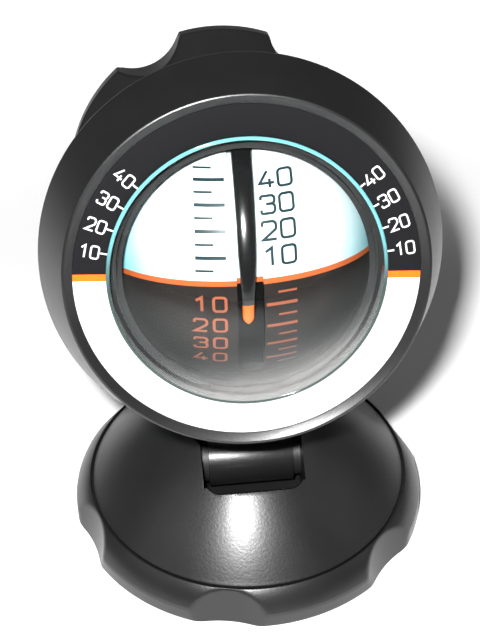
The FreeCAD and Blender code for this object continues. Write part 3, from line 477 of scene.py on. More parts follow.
def lathe(name: str, outline: Sequence[Point], limit: Optional[Callable[[float, float], float]] = None,
          upright: bool = False, turns: int = FINE_TURNS, crisp: float = 32.0) -> bpy.types.Object:
    """Turns a closed outline about Y, or about Z where it stands upright.

    Args:
        name: The object's name.
        outline: (along, out) points in millimetres.
        limit: Gives the largest radius at an angle in radians and a distance along, for fluted rims.
        upright: Turns about Z instead of Y.
        turns: Steps in a full turn.
        crisp: Edges sharper than this stay sharp, in degrees.

    Returns:
        The object, in its own frame.
    """
    profile = np.array(outline, float)
    angles = np.linspace(0, 2 * math.pi, turns, endpoint=False)
    out = np.repeat(profile[None, :, 1], turns, 0)
    if limit is not None:
        cap = np.array([[limit(a, along) for along in profile[:, 0]] for a in angles])
        soft = 0.5
        gap = np.clip(0.5 + 0.5 * (cap - out) / soft, 0, 1)
        out = np.where(np.isfinite(cap), np.where(np.isfinite(cap), cap, 0) * (1 - gap) + out * gap
                       - soft * gap * (1 - gap), out)
    along = np.repeat(profile[None, :, 0], turns, 0)
    side, up = out * np.sin(angles)[:, None], out * np.cos(angles)[:, None]
    stack = (side, up, along) if upright else (side, along, up)
    points = np.stack(stack, -1).reshape(-1, 3) * MM
    rows = len(profile)
    faces = []
    for turn in range(turns):
        here, there = turn * rows, (turn + 1) % turns * rows
        for row in range(rows):
            below = (row + 1) % rows
            faces.append((here + row, here + below, there + below, there + row))
    item = mesh_object(name, points, faces, crisp)
    tidy(item, crisp)
    return item


def tidy(item: bpy.types.Object, crisp: float = 32.0) -> None:
    """Merges doubled points, drops flat faces, points the faces outwards and shades the mesh."""
    work = bmesh.new()
    work.from_mesh(item.data)
    bmesh.ops.remove_doubles(work, verts=work.verts, dist=2e-6)
    bmesh.ops.dissolve_degenerate(work, dist=1e-7, edges=work.edges)
    bmesh.ops.recalc_face_normals(work, faces=work.faces)
    if work.calc_volume(signed=True) < 0:
        bmesh.ops.reverse_faces(work, faces=work.faces)
    work.to_mesh(item.data)
    work.free()
    item.data.shade_smooth()
    item.data.set_sharp_from_angle(angle=math.radians(crisp))


def settle(item: bpy.types.Object, matrix: Optional[Matrix] = None) -> bpy.types.Object:
    """Applies an object's modifiers and puts its place, times a matrix, into its mesh."""
    bpy.context.view_layer.update()
    made = bpy.data.meshes.new_from_object(item.evaluated_get(bpy.context.evaluated_depsgraph_get()))
    made.transform((matrix or Matrix.Identity(4)) @ item.matrix_world)
    item.modifiers.clear()
    item.data = made
    item.matrix_world = Matrix.Identity(4)
    return item


def combine(base: bpy.types.Object, tool: bpy.types.Object, operation: str) -> bpy.types.Object:
    """Adds, cuts away or shares the tool's solid, and removes the tool."""
    step = base.modifiers.new("combine", "BOOLEAN")
    step.object, step.operation, step.solver = tool, operation, "EXACT"
    settle(base)
    bpy.data.objects.remove(tool)
    return base


def block(name: str, low: Sequence[float], high: Sequence[float]) -> bpy.types.Object:
    """A box between two corners in millimetres, used as a tool."""
    corners = np.array([[(low, high)[x][0], (low, high)[y][1], (low, high)[z][2]]
                        for x in (0, 1) for y in (0, 1) for z in (0, 1)], float) * MM
    faces = [(0, 1, 3, 2), (4, 6, 7, 5), (0, 4, 5, 1), (2, 3, 7, 6), (0, 2, 6, 4), (1, 5, 7, 3)]
    return mesh_object(name, corners, faces)


def prism(name: str, outline: Sequence[Point], low: float, high: float, axis: str) -> bpy.types.Object:
    """A prism of an outline between two distances along X or Y. The outline is (Y, Z) or (X, Z)."""
    count = len(outline)
    points = []
    for along in (low, high):
        for first, second in outline:
            points.append((along, first, second) if axis == "x" else (first, along, second))
    faces = [tuple(range(count))[::-1], tuple(range(count, 2 * count))]
    faces += [(k, (k + 1) % count, count + (k + 1) % count, count + k) for k in range(count)]
    item = mesh_object(name, np.array(points) * MM, faces)
    tidy(item)
    return item


def strip(name: str, section: Callable[[float], list[Point]], low: float, high: float,
          steps: int) -> bpy.types.Object:
    """Sweeps a section round the X axis.

    Args:
        name: The object's name.
        section: Gives the (across, out) points in millimetres at an angle above the front, in degrees.
        low: First angle.
        high: Last angle.
        steps: How many sections.

    Returns:
        The closed object.
    """
    points: list = []
    count = 0
    for angle in np.linspace(low, high, steps):
        turn, edge = math.radians(angle), section(angle)
        count = len(edge)
        points += [(x, -r * math.cos(turn), r * math.sin(turn)) for x, r in edge]
    faces = [tuple(range(count)), tuple(range(len(points) - count, len(points)))[::-1]]
    faces += [(row + k, row + (k + 1) % count, row + count + (k + 1) % count, row + count + k)
              for row in range(0, len(points) - count, count) for k in range(count)]
    item = mesh_object(name, np.array(points) * MM, faces)
    tidy(item, 40.0)
    return item


def trench(name: str, half: float, floor: float, top: float, low: float, high: float,
           steps: int) -> bpy.types.Object:
    """A square channel round the X axis, as a tool, from its floor's radius out to its top's."""
    section = [(-half, floor), (half, floor), (half, top), (-half, top)]
    return strip(name, lambda _: section, low, high, steps)


def circle(across: float, up: float, radius: float) -> list[Point]:
    """Points round a circle."""
    return [(across + radius * math.cos(a), up + radius * math.sin(a))
            for a in np.linspace(0, 2 * math.pi, 96, endpoint=False)]


def soften(item: bpy.types.Object, width: float) -> None:
    """Rounds an object's sharp edges."""
    sharp = math.radians(40)
    step = item.modifiers.new("soften", "BEVEL")
    step.width, step.segments, step.limit_method, step.angle_limit = width * MM, 3, "ANGLE", sharp
    settle(item)
    item.data.shade_smooth()
    item.data.set_sharp_from_angle(angle=sharp)


def fluted(count: int, ring: float, flute: float, first: float) -> Callable[[float], float]:
    """The largest radius of a rim with round flutes, by the angle in radians.

    Args:
        count: How many flutes.
        ring: Radius of the circle that the flutes' middles lie on.
        flute: Radius of each flute.
        first: Angle of one flute's middle, in degrees.

    Returns:
        A function that gives infinity between the flutes.
    """
    def limit(angle: float) -> float:
        """The largest radius at one angle."""
        pitch = 2 * math.pi / count
        away = (angle - math.radians(first) + pitch / 2) % pitch - pitch / 2
        across = ring * math.sin(away)
        if abs(across) >= flute:
            return math.inf
        return ring * math.cos(away) - math.sqrt(flute ** 2 - across ** 2)
    return limit


# Numerals

# Width in which the strokes are drawn, as a share of their height
W = 0.6
STROKES: dict[str, list[tuple[bool, list[tuple]]]] = {
    "0": [(True, [(0, 0, .2), (W, 0, .2), (W, 1, .2), (0, 1, .2)])],
    "1": [(False, [(.1, .78), (.38, 1), (.38, 0)])],
    "2": [(False, [(0, .74), (0, 1, .22), (W, 1, .22), (W, .56, .2), (0, 0), (W, 0)])],
    "3": [(False, [(0, .78), (0, 1, .2), (W, 1, .2), (W, .53, .2), (.22, .53)]),
          (False, [(.22, .53), (W, .53, .2), (W, 0, .2), (0, 0, .2), (0, .22)])],
    "4": [(False, [(.36, 1), (0, .27), (W + .04, .27)]), (False, [(.44, .52), (.44, 0)])],
}


def ribbon(path: Sequence[tuple], closed: bool, width: float) -> tuple[list, list]:
    """A flat band along a path with rounded corners.

    Args:
        path: (x, y) or (x, y, corner radius) points.
        closed: Whether the path joins up.
        width: The band's width.

    Returns:
        Points and faces in the flat.
    """
    line = np.array(rounded(path) if closed else rounded_open(path))
    count = len(line)
    ahead = np.roll(line, -1, 0) - line
    back = line - np.roll(line, 1, 0)
    if not closed:
        ahead[-1], back[0] = back[-1], ahead[0]
    ahead /= np.linalg.norm(ahead, axis=1)[:, None]
    back /= np.linalg.norm(back, axis=1)[:, None]
    along = ahead + back
    along /= np.linalg.norm(along, axis=1)[:, None]
    across = np.stack([-along[:, 1], along[:, 0]], 1)
    spread = width / 2 / np.clip((across * np.stack([-ahead[:, 1], ahead[:, 0]], 1)).sum(1), 0.4, 1)[:, None]
    points = np.concatenate([line + across * spread, line, line - across * spread])
    last = count if closed else count - 1
    faces = [(side * count + k, side * count + (k + 1) % count, (side + 1) * count + (k + 1) % count,
              (side + 1) * count + k) for k in range(last) for side in (0, 1)]
    return points.tolist(), faces


def rounded_open(path: Sequence[tuple]) -> list[Point]:
    """Rounds the inner corners of an open path, and splits its long runs."""
    inner = range(1, len(path) - 1)
    whole = rounded([(*p[:2], p[2] if len(p) > 2 and i in inner else 0) for i, p in enumerate(path)])
    points: list[Point] = []
    for first, second in zip(whole, whole[1:]):
        steps = int(math.dist(first, second) / 0.15)
        points += [first] + fill_between(first, second, steps)
    return points + [whole[-1]]


def lettering(text: str, height: float, stroke: float, spread: float,
              width: float) -> tuple[np.ndarray, list]:
    """Plain squared numerals in the flat, centred on the origin.

    Args:
        text: The digits.
        height: Their height in millimetres.
        stroke: The stroke's width in millimetres.
        spread: The gap between digits, as a share of their height.
        width: A digit's width, as a share of its height.

    Returns:
        Points (x, y) in millimetres, and faces.
    """
    points: list = []
    faces: list = []
    pen = 0.0
    for digit in text:
        for closed, path in STROKES[digit]:
            wide = [(point[0] * width / W, *point[1:]) for point in path]
            own, bands = ribbon(wide, closed, stroke / height)
            faces += [tuple(len(points) + k for k in band) for band in bands]
            points += [(x + pen, y) for x, y in own]
        pen += width + spread
    flat = np.array(points)
    flat[:, 0] -= (pen - spread) / 2
    flat[:, 1] -= 0.5
    return flat * height, faces


# Geometry nodes

class NodeTree:
    """A geometry node tree with named inputs."""

    def __init__(self, name: str) -> None:
        """Starts a tree with its geometry input and output."""
        self.tree = bpy.data.node_groups.new(name, "GeometryNodeTree")
        self.tree.interface.new_socket("Geometry", in_out="INPUT", socket_type="NodeSocketGeometry")
        self.tree.interface.new_socket("Geometry", in_out="OUTPUT", socket_type="NodeSocketGeometry")
        self.start = self.tree.nodes.new("NodeGroupInput")
        self.end = self.tree.nodes.new("NodeGroupOutput")

    def number(self, name: str, kind: str = "NodeSocketFloat") -> bpy.types.NodeSocket:
        """Adds a named input and returns its socket."""
        self.tree.interface.new_socket(name, in_out="INPUT", socket_type=kind)
        return self.start.outputs[name]

    def add(self, kind: str, inputs: Optional[dict] = None, **settings: object) -> bpy.types.Node:
        """Adds a node from its type, its inputs and its settings."""
        return put_node(self.tree, kind, settings, inputs)

    def maths(self, operation: str, *values: object) -> bpy.types.NodeSocket:
        """Adds a Math node and returns its result."""
        return self.add("ShaderNodeMath", dict(enumerate(values)), operation=operation).outputs[0]

    def vector(self, **parts: object) -> bpy.types.NodeSocket:
        """Joins numbers into a vector."""
        return self.add("ShaderNodeCombineXYZ", parts).outputs[0]

    def close(self, geometry: bpy.types.NodeSocket, material: bpy.types.NodeSocket) -> None:
        """Ends the tree in Realize Instances and Set Material."""
        real = self.add("GeometryNodeRealizeInstances", {"Geometry": geometry})
        coat = self.add("GeometryNodeSetMaterial", {"Geometry": real.outputs[0], "Material": material})
        self.tree.links.new(coat.outputs[0], self.end.inputs[0])

    def run(self, item: bpy.types.Object, values: dict) -> bpy.types.Object:
        """Runs the tree on an object, with its inputs set by their identifiers, and keeps the result."""
        step = item.modifiers.new(self.tree.name, "NODES")
        step.node_group = self.tree
        for socket in self.tree.interface.items_tree:
            if socket.in_out == "INPUT" and socket.name in values:
                step[socket.identifier] = values[socket.name]
        return settle(item)


class BallWrap(NodeTree):
    """Bends a flat print onto the front of a ball, where up the page is latitude."""

    def __init__(self) -> None:
        """Builds the tree."""
        super().__init__("ball_wrap")
        radius = self.number("Radius")
        material = self.number("Material", "NodeSocketMaterial")
        place = self.add("GeometryNodeInputPosition").outputs[0]
        flat = self.add("ShaderNodeSeparateXYZ", {0: place})
        latitude = self.maths("DIVIDE", flat.outputs["Z"], radius)
        up = self.maths("MULTIPLY", self.maths("SINE", latitude), radius)
        side = flat.outputs["X"]
        squares = [self.maths("MULTIPLY", length, length) for length in (radius, up, side)]
        rest = self.maths("SUBTRACT", squares[0], self.maths("ADD", *squares[1:]))
        depth = self.maths("MULTIPLY", self.maths("SQRT", rest), -1.0)
        moved = self.add("GeometryNodeSetPosition", {
            "Geometry": self.start.outputs["Geometry"], "Position": self.vector(X=side, Y=depth, Z=up)})
        self.close(moved.outputs[0], material)


class MarkLadder(NodeTree):
    """Repeats a flat mark up the page at an even pitch, sliding it sideways as it climbs."""

    def __init__(self) -> None:
        """Builds the tree."""
        super().__init__("mark_ladder")
        count = self.number("Count", "NodeSocketInt")
        first = self.number("First")
        pitch = self.number("Pitch")
        drift = self.number("Drift")
        material = self.number("Material", "NodeSocketMaterial")
        rungs = self.add("GeometryNodeMeshLine", {
            "Count": count, "Start Location": self.vector(Z=first), "Offset": self.vector(X=drift, Z=pitch)},
            mode="OFFSET")
        copies = self.add("GeometryNodeInstanceOnPoints", {
            "Points": rungs.outputs[0], "Instance": self.start.outputs["Geometry"]})
        self.close(copies.outputs[0], material)


class Wheel(NodeTree):
    """Repeats a piece evenly round the Y axis."""

    def __init__(self) -> None:
        """Builds the tree."""
        super().__init__("wheel")
        count = self.number("Count", "NodeSocketInt")
        first = self.number("First")
        pitch = self.number("Pitch")
        material = self.number("Material", "NodeSocketMaterial")
        index = self.add("GeometryNodeInputIndex").outputs[0]
        angle = self.maths("ADD", first, self.maths("MULTIPLY", index, pitch))
        spots = self.add("GeometryNodePoints", {"Count": count})
        copies = self.add("GeometryNodeInstanceOnPoints", {
            "Points": spots.outputs[0], "Instance": self.start.outputs["Geometry"],
            "Rotation": self.vector(Y=angle)})
        self.close(copies.outputs[0], material)


# The object

# What polished mouldings and prints share: unevenness, grain and relief, and for prints the bump's strength
POLISHED = (0.04, 1200.0, 0.00001)
INKED = (0.04, 1500.0, 0.00001, 0.05)


class Side(Enum):
    """A side of the dial, by its direction along X."""

    LEFT = -1
    RIGHT = 1


@dataclass
class Stance:
    """Where the head, the ball and the pointer stand at rest."""

    roll: float = 4.0
    # Which way the ball's painted highlight faces, in degrees
    outlook_lift: float = -50.0
    outlook_swing: float = 4.0
    face: Vector = field(default_factory=Vector)
    axis: Vector = field(default_factory=Vector)
    middle: Vector = field(default_factory=Vector)

    def __post_init__(self) -> None:
        """Reads the joints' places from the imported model."""
        joints = {joint["name"]: joint for joint in frame["joints"]}
        self.face = Vector(joints["roll_zero"]["pos_m"])
        self.axis = Vector(joints["roll_zero"]["axis"])
        self.middle = Vector(joints["ball_roll"]["pos_m"])

    @property
    def tilt(self) -> Matrix:
        """The head's lean."""
        return Matrix.Rotation(math.atan2(self.axis.z, self.axis.y), 4, "X")

    @property
    def yoke(self) -> Matrix:
        """The yoke's frame."""
        return Matrix.Translation(self.face) @ self.tilt

    @property
    def head(self) -> Matrix:
        """The head's frame, which is turned in the yoke."""
        return self.yoke @ Matrix.Rotation(math.radians(self.roll), 4, "Y")

    @property
    def ball(self) -> Matrix:
        """The ball's frame."""
        return Matrix.Translation(self.middle) @ self.tilt

    @property
    def outlook(self) -> Matrix:
        """A frame at the ball's middle whose -Y axis looks up and out of the dome, and which aims the ball's
        painted highlight.
        """
        turn = Euler((math.radians(self.outlook_lift), 0, math.radians(self.outlook_swing)), "XYZ")
        return Matrix.Translation(self.middle) @ turn.to_matrix().to_4x4()

    @property
    def pointer(self) -> Matrix:
        """The pointer's frame, which hangs upright."""
        return Matrix.Translation(self.middle)


@dataclass
class Workshop:
    """The finishes, and how finished pieces join the model."""

    stance: Stance
    finishes: dict[str, bpy.types.Material] = field(default_factory=dict)

    def __post_init__(self) -> None:
        """Builds every finish."""
        self.finishes = {maker.name: maker.material() for maker in [
            Moulded("black_moulding", (0.011, 0.011, 0.0115), 0.33, 0.06, 1700.0, 0.00005, 0.4, 0.6),
            Moulded("adhesive_foam", (0.03, 0.03, 0.03), 0.9, 0.05, 1800.0, 0.00008, 0.6),
            Moulded("nylon", (0.80, 0.79, 0.74), 0.4),
            Moulded("black_nylon", (0.014, 0.014, 0.015), 0.5),
            Moulded("seal_rubber", (0.02, 0.02, 0.02), 0.7),
            Moulded("capsule_shell", (0.012, 0.013, 0.013), 0.5),
            Moulded("orange_moulding", (0.55, 0.12, 0.03), 0.3, *POLISHED, 0.1),
            Moulded("tip_orange", (0.95, 0.14, 0.01), 0.2, *POLISHED, 0.1),
            Moulded("pointer_black", (0.007, 0.007, 0.007), 0.18, *POLISHED, 0.06, 0.9),
            Moulded("print_white", (0.86, 0.86, 0.85), 0.45, *INKED),
            Moulded("print_teal", (0.004, 0.030, 0.034), 0.4, *INKED),
            Moulded("print_orange", (0.33, 0.085, 0.035), 0.4, *INKED),
            Metal("plated_steel", (0.62, 0.62, 0.64)),
            Metal("turned_brass", (0.78, 0.57, 0.26)),
            PrintedRing("printed_ring", self.stance.head, PRINT_DROP, 0.72),
            # The dome carries a painted floor reflection near its foot
            ClearDome("clear_dome", self.stance.head),
            # Each half: a paler front that is a painted highlight, a side colour that is painted fluid tint,
            # and a groove colour that is painted shade
            BallSkin("sky_skin", self.stance.outlook, (0.86, 0.93, 0.93), (0.18, 0.66, 0.74), BALL_RADIUS,
                     (0.70, 0.80, 0.80)),
            # The ground half's last colour is painted shade in the groove
            BallSkin("ground_skin", self.stance.outlook, (0.022, 0.018, 0.016), (0.018, 0.016, 0.015),
                     BALL_RADIUS, (0.002, 0.002, 0.002), 0.4, 0.0, 0.12),
            # The dome's foot ring: a painted reflection of the ball
            EdgeGlow("dome_edge", self.stance.head),
            Backdrop("pale_stage"),
        ]}

    def dress(self, item: bpy.types.Object, finish: str) -> None:
        """Gives an object one finish."""
        item.data.materials.clear()
        item.data.materials.append(self.finishes[finish])

    def dress_nodes(self, finish: str, *nodes: str) -> None:
        """Gives CAD nodes that are shown a finish."""
        for node in nodes:
            self.dress(frame["nodes"][node], finish)

    def fit(self, item: bpy.types.Object, matrix: Matrix, finish: str, body: str, slot: Optional[str] = None,
            *stands_for: str) -> None:
        """Places a finished piece and makes it ride on its body.

        Args:
            item: The piece, in its own frame.
            matrix: That frame's place at rest.
            finish: The finish's name.
            body: The body that it rides on.
            slot: The record's material slot; not used.
            stands_for: CAD nodes that it replaces.
        """
        settle(item, matrix)
        self.dress(item, finish)
        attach(item, body)
        if stands_for:
            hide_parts(*stands_for)
        LOG.info("%s rides on %s", item.name, body)


@dataclass
class Base:
    """The scalloped base that sticks to the dashboard."""

    shop: Workshop
    radius: float = 38.9
    bottom: float = 0.15
    edge: float = 3.5
    slope_crest: Point = (6.75, 37.42)
    seam_radius: float = 35.2
    seam_rise: float = 8.4
    deck_rise: float = 7.4
    deck_underside: float = 5.9
    pivot_radius: float = 5.08
    hollow_radius: float = 31.5
    ledge_rise: float = 3.2
    plate_bore: float = 34.08
    flutes: int = 6
    flute_ring: float = 60.3
    flute_radius: float = 23.3
    flute_lean: float = 0.22
    turn: float = 192.2

    def build(self) -> None:
        """Builds the base's pieces."""
        flute = fluted(self.flutes, self.flute_ring, self.flute_radius, self.turn)

        def limit(angle: float, rise: float) -> float:
            """The rim's largest radius, with flutes that lean in as they climb."""
            return flute(angle) - self.flute_lean * (rise - self.edge / 2)

        rim = lathe("base_rim", self._outline(), limit, True, SCALLOP_TURNS, 50.0)
        self.shop.fit(rim, Matrix.Identity(4), "black_moulding", "base", "black_plastic", "base_ring")
        self.shop.dress_nodes("adhesive_foam", "adhesive_pad")
        self.shop.dress_nodes("black_moulding", "base_plate")
        self.shop.dress_nodes("plated_steel", "base_screws")

    def _outline(self) -> list[Point]:
        """The rim's section: an upright wall, a bowed slope up to the seam and a hollow below."""
        wall_top = self.edge - 0.3
        slope_low = (self.edge + 0.4, self.radius - 0.15)
        slope_high = (self.seam_rise, self.seam_radius + 0.25)
        slope = [tuple(low * (1 - k) ** 2 + 2 * top * k * (1 - k) + high * k * k
                       for low, top, high in zip(slope_low, self.slope_crest, slope_high))
                 for k in np.linspace(0, 1, 18)[1:-1]]
        corners = rounded([
            (self.bottom, self.plate_bore), (self.bottom, self.radius, 0.3), (wall_top, self.radius, 0.3),
            (*slope_low, 0.3), *slope, (*slope_high, 0.15), (self.seam_rise, self.seam_radius, 0.1),
            (self.deck_rise, self.seam_radius), (self.deck_rise, self.pivot_radius),
            (self.deck_underside, self.pivot_radius), (self.deck_underside, self.hollow_radius),
            (self.ledge_rise, self.hollow_radius), (self.ledge_rise, self.plate_bore)])
        wall_start = min(corners, key=lambda p: abs(p[0] - self.bottom - 0.3) + abs(p[1] - self.radius))
        split = corners.index(wall_start) + 1
        wall = fill_between((self.bottom + 0.4, self.radius), (wall_top, self.radius), 3)
        return corners[:split] + wall + corners[split:]


@dataclass
class Turret:
    """The conical turret with the hinge's slot."""

    shop: Workshop
    bottom: float = 7.65
    radius: float = 34.7
    foot: Point = (9.0, 34.2)
    neck: Point = (25.4, 15.2)
    top: float = 26.2
    bulge: float = 110.0
    roof: float = 24.0
    hollow_foot: float = 31.23
    hollow_neck: float = 13.85
    slot_half: float = 10.9
    slot_front: float = -17.6
    slot_back: float = 6.0
    slot_floor: float = 10.8
    cheek: float = 13.4
    well_wall: float = 2.5
    well_floor: float = 8.6
    sill: float = 2.98
    ramp: float = 41.2

    def build(self) -> None:
        """Builds the turret's skin and dresses its hardware."""
        outside = rounded([
            (self.bottom, self.radius, 0.15), (self.foot[0] - 0.5, self.radius, 0.4), (*self.foot, 0.6),
            *((*point, 0) for point in self._bulge(20)), (*self.neck, 0.9), (self.top, 14.2, 0.7),
            (self.top, 0), (self.bottom, 0)], 6)[:-1]
        hollow = [(self.roof, 0.0), (self.roof, self.hollow_neck), (self.foot[0], self.hollow_foot),
                  (self.bottom, self.hollow_foot)]
        skin = lathe("turret_skin", outside + hollow, None, True, PLAIN_TURNS)
        form = lathe("turret_form", outside + [(self.bottom, 0.0)], None, True, PLAIN_TURNS)
        well = block("well_block", (-self.cheek, self.slot_front - self.well_wall, self.well_floor),
                     (self.cheek, self.slot_back + self.well_wall, self.top))
        combine(skin, combine(well, form, "INTERSECT"), "UNION")
        combine(skin, block("well", (-self.slot_half, self.slot_front, self.slot_floor),
                            (self.slot_half, self.slot_back, 31)), "DIFFERENCE")
        combine(skin, self._window(), "DIFFERENCE")
        combine(skin, prism("pin_hole", circle(*HINGE, PIN_BORE), -20, 20, "x"), "DIFFERENCE")
        soften(skin, 0.5)
        self.shop.fit(skin, Matrix.Identity(4), "black_moulding", "turret", "black_plastic", "turret")
        self.shop.dress_nodes("plated_steel", "swivel_washer", "swivel_screw", "hinge_screw", "hinge_nut")
        self.shop.dress_nodes("nylon", "slip_washer")

    def _window(self) -> bpy.types.Object:
        """The slot's mouth in the cone's flank, with rounded lower corners."""
        outline = rounded([(-self.slot_half, self.sill, 3.5), (self.slot_half, self.sill, 3.5),
                           (self.slot_half, 40), (-self.slot_half, 40)], 8)
        mouth = prism("window", outline, -60.0, self.slot_front - 1.0, "y")
        return settle(mouth, Matrix.Rotation(math.radians(-self.ramp), 4, "X"))

    def _bulge(self, steps: int) -> list[Point]:
        """Points on the flank's shallow outward arc, without the ends."""
        first, last = np.array(self.foot), np.array(self.neck)
        chord = last - first
        length = float(np.linalg.norm(chord))
        drop = math.sqrt(self.bulge ** 2 - length ** 2 / 4)
        middle = (first + last) / 2 + np.array([chord[1], -chord[0]]) / length * drop
        start, stop = (math.atan2(*(point - middle)[::-1]) for point in (first, last))
        return [(float(middle[0] + self.bulge * math.cos(a)), float(middle[1] + self.bulge * math.sin(a)))
                for a in np.linspace(start, stop, steps + 2)[1:-1]]


@dataclass
class Yoke:
    """The collar, its arm and the hinge's knuckle."""

    shop: Workshop
    bore: float = 36.13
    radius: float = 38.4
    front: float = 15.1
    back: float = 22.9
    half: float = 9.1
    knuckle: Point = (24.34, -51.3)
    knuckle_radius: float = 6.0

    def build(self) -> None:
        """Builds the collar and arm as one moulding, and dresses the washers."""
        collar = lathe("yoke_moulding", rounded([
            (self.front, self.bore), (self.front, self.radius, 0.35), (self.back, self.radius, 0.35),
            (self.back, self.bore)]))
        arm = prism("arm", [(17.2, -36.9), (self.back, -36.9), (27.64, -46.5), (20.74, -47.7)],
                    -self.half, self.half, "x")
        knuckle = prism("knuckle", circle(*self.knuckle, self.knuckle_radius), -self.half, self.half, "x")
        combine(collar, combine(arm, knuckle, "UNION"), "UNION")
        combine(collar, prism("bore", circle(*self.knuckle, PIN_BORE), -12, 12, "x"), "DIFFERENCE")
        soften(collar, 0.45)
        self.shop.fit(collar, self.shop.stance.yoke, "black_moulding", "yoke", "black_plastic", "yoke")
        self.shop.dress_nodes("black_nylon", "washer_left", "washer_right")
        self.shop.dress_nodes("seal_rubber", "friction_ring")


@dataclass
class Head:
    """The bezel, the printed ring, the dome, the capsule and the rear housing."""

    shop: Workshop
    bezel_radius: float = 41.0
    bezel_seat: float = 36.1
    ring_radius: float = 34.85
    ring_hole: float = 27.68
    ring_depth: float = 1.2
    ball_back: float = 24.08
    dome_edge: float = 27.6
    dome_wall: float = 2.0
    flange_radius: float = 34.5
    housing_radius: float = 36.05
    housing_wall: float = 1.95
    sweep_radius: float = 41.2
    sweep_start: float = 25.0
    sweep_end: float = 50.0
    cap_back: float = 68.8
    cap_radius: float = 34.9
    cap_bore: float = 24.45
    cap_hollow: float = 28.4
    number_ring: float = 31.25

    def build(self) -> None:
        """Builds the head's pieces and dresses the hidden ones."""
        self._bezel()
        self._dome()
        self._housing()
        self._cap()
        self._numbers()
        self.shop.dress_nodes("capsule_shell", "capsule_bowl", "diaphragm_cap")
        self.shop.dress_nodes("seal_rubber", "capsule_seal", "expansion_diaphragm")
        self.shop.dress_nodes("turned_brass", "fill_plug", "roll_bush")
        self.shop.dress_nodes("plated_steel", "end_stone", "rear_screws")
        self.shop.dress_nodes("black_nylon", "retaining_ring")
        self.shop.dress_nodes("black_moulding", "rear_plate")

    def _mount(self, item: bpy.types.Object, finish: str, slot: str, *stands_for: str) -> None:
        """Places a piece of the head."""
        self.shop.fit(item, self.shop.stance.head, finish, "head", slot, *stands_for)

    def _bezel(self) -> None:
        """Builds the flared bezel and the dial ring in it."""
        bezel = lathe("bezel_moulding", rounded([
            (0.0, 34.1, 0.1), (-0.35, 34.1, 0.2), (-1.4, 35.7, 0.35), (-1.25, 36.2, 0.4),
            (12.5, self.bezel_radius, 0.5), (13.3, self.bezel_radius, 0.4), (14.1, 40.2, 0.3),
            (14.1, self.bezel_seat), (4.8, self.bezel_seat), (4.8, 34.93), (0.0, 34.93)]))
        self._mount(bezel, "black_moulding", "black_plastic", "bezel")
        ring = lathe("dial_ring", rounded([
            (0.0, self.ring_hole, 0.05), (0.0, self.ring_radius), (self.ring_depth, self.ring_radius),
            (self.ring_depth, self.ring_hole)]))
        self._mount(ring, "printed_ring", "printed_ring", "scale_ring")

    def _dome(self) -> None:
        """Builds the clear dome with its flange, and a foot ring with a painted reflection of the ball round
        its edge.
        """
        back, edge = self.ball_back, self.dome_edge
        globe = math.hypot(edge, back)
        inner, skirt, flange_back = globe - self.dome_wall, edge - self.dome_wall, 3.0
        outline = arc(back, globe, 0, math.degrees(math.asin(edge / globe)), 60)
        outline += [(self.ring_depth, edge), (self.ring_depth, self.flange_radius),
                    (flange_back, self.flange_radius), (flange_back, skirt)]
        outline += arc(back, inner, math.degrees(math.asin(skirt / inner)), 0, 60)
        dome = lathe("dome", outline, None, False, PLAIN_TURNS)
        self._mount(dome, "clear_dome", "clear_dome", "dome_window")
        # The foot ring's finish paints the ball's reflection round the dome's edge
        section = [(-0.35 + 0.3 * math.cos(a), edge - 0.32 + 0.38 * math.sin(a))
                   for a in np.linspace(0, 2 * math.pi, 20, endpoint=False)]
        self._mount(lathe("dome_foot_painted_reflection", section, None, False, PLAIN_TURNS), "dome_edge", "clear_dome")

    def _sweep(self, radius: float, start: float, stop: float, steps: int) -> list[Point]:
        """Points on the housing's round side, or on its inside with a smaller radius."""
        centre = self.housing_radius - self.sweep_radius
        return [(along, centre + math.sqrt(radius ** 2 - (along - self.sweep_start) ** 2))
                for along in np.linspace(start, stop, steps)]

    def _housing(self) -> None:
        """Builds the rear housing, which narrows to a neck."""
        wide, wall, end = self.housing_radius, self.housing_wall, 63.0
        shoulder, neck = 54.3, 24.4
        outline = [(4.8, 34.1), (4.8, wide), (23.15, wide), (23.15, 35.45), (24.65, 35.45), (24.65, wide)]
        outline += self._sweep(self.sweep_radius, self.sweep_start, self.sweep_end, 30)
        outline += [(shoulder, 26.3), (shoulder, neck), (end, neck), (end, 0.0), (61.05, 0.0), (61.05, 22.45),
                    (52.35, 22.45)]
        outline += self._sweep(self.sweep_radius - wall, self.sweep_end, self.sweep_start, 20)
        housing = lathe("housing_moulding", outline, None, False, PLAIN_TURNS)
        self._mount(housing, "black_moulding", "black_plastic", "rear_housing")

    def _cap(self) -> None:
        """Builds the scalloped rear cap."""
        cone_low, cone_high = (54.3, 26.3), (62.5, 34.0)
        cone = [(*point, 0) for point in fill_between(cone_low, cone_high, 14)]
        wall = [(*point, 0) for point in fill_between((63.6, self.cap_radius), (67.7, self.cap_radius), 3)]
        outline = rounded([
            (54.3, self.cap_bore), (*cone_low, 0.15), *cone, (*cone_high, 0.6), (63.4, self.cap_radius, 0.6),
            *wall, (67.9, self.cap_radius, 0.7), (self.cap_back, 34.0, 0.5), (self.cap_back, 29.98, 0.2),
            (66.9, 29.98), (66.9, self.cap_hollow), (59.5, self.cap_hollow), (59.5, self.cap_bore)])
        flute = fluted(6, 41.0, 10.6, 30.0)
        knob = lathe("cap_moulding", outline, lambda angle, _: flute(angle), False, SCALLOP_TURNS, 50.0)
        self._mount(knob, "black_moulding", "black_plastic", "rear_cap")

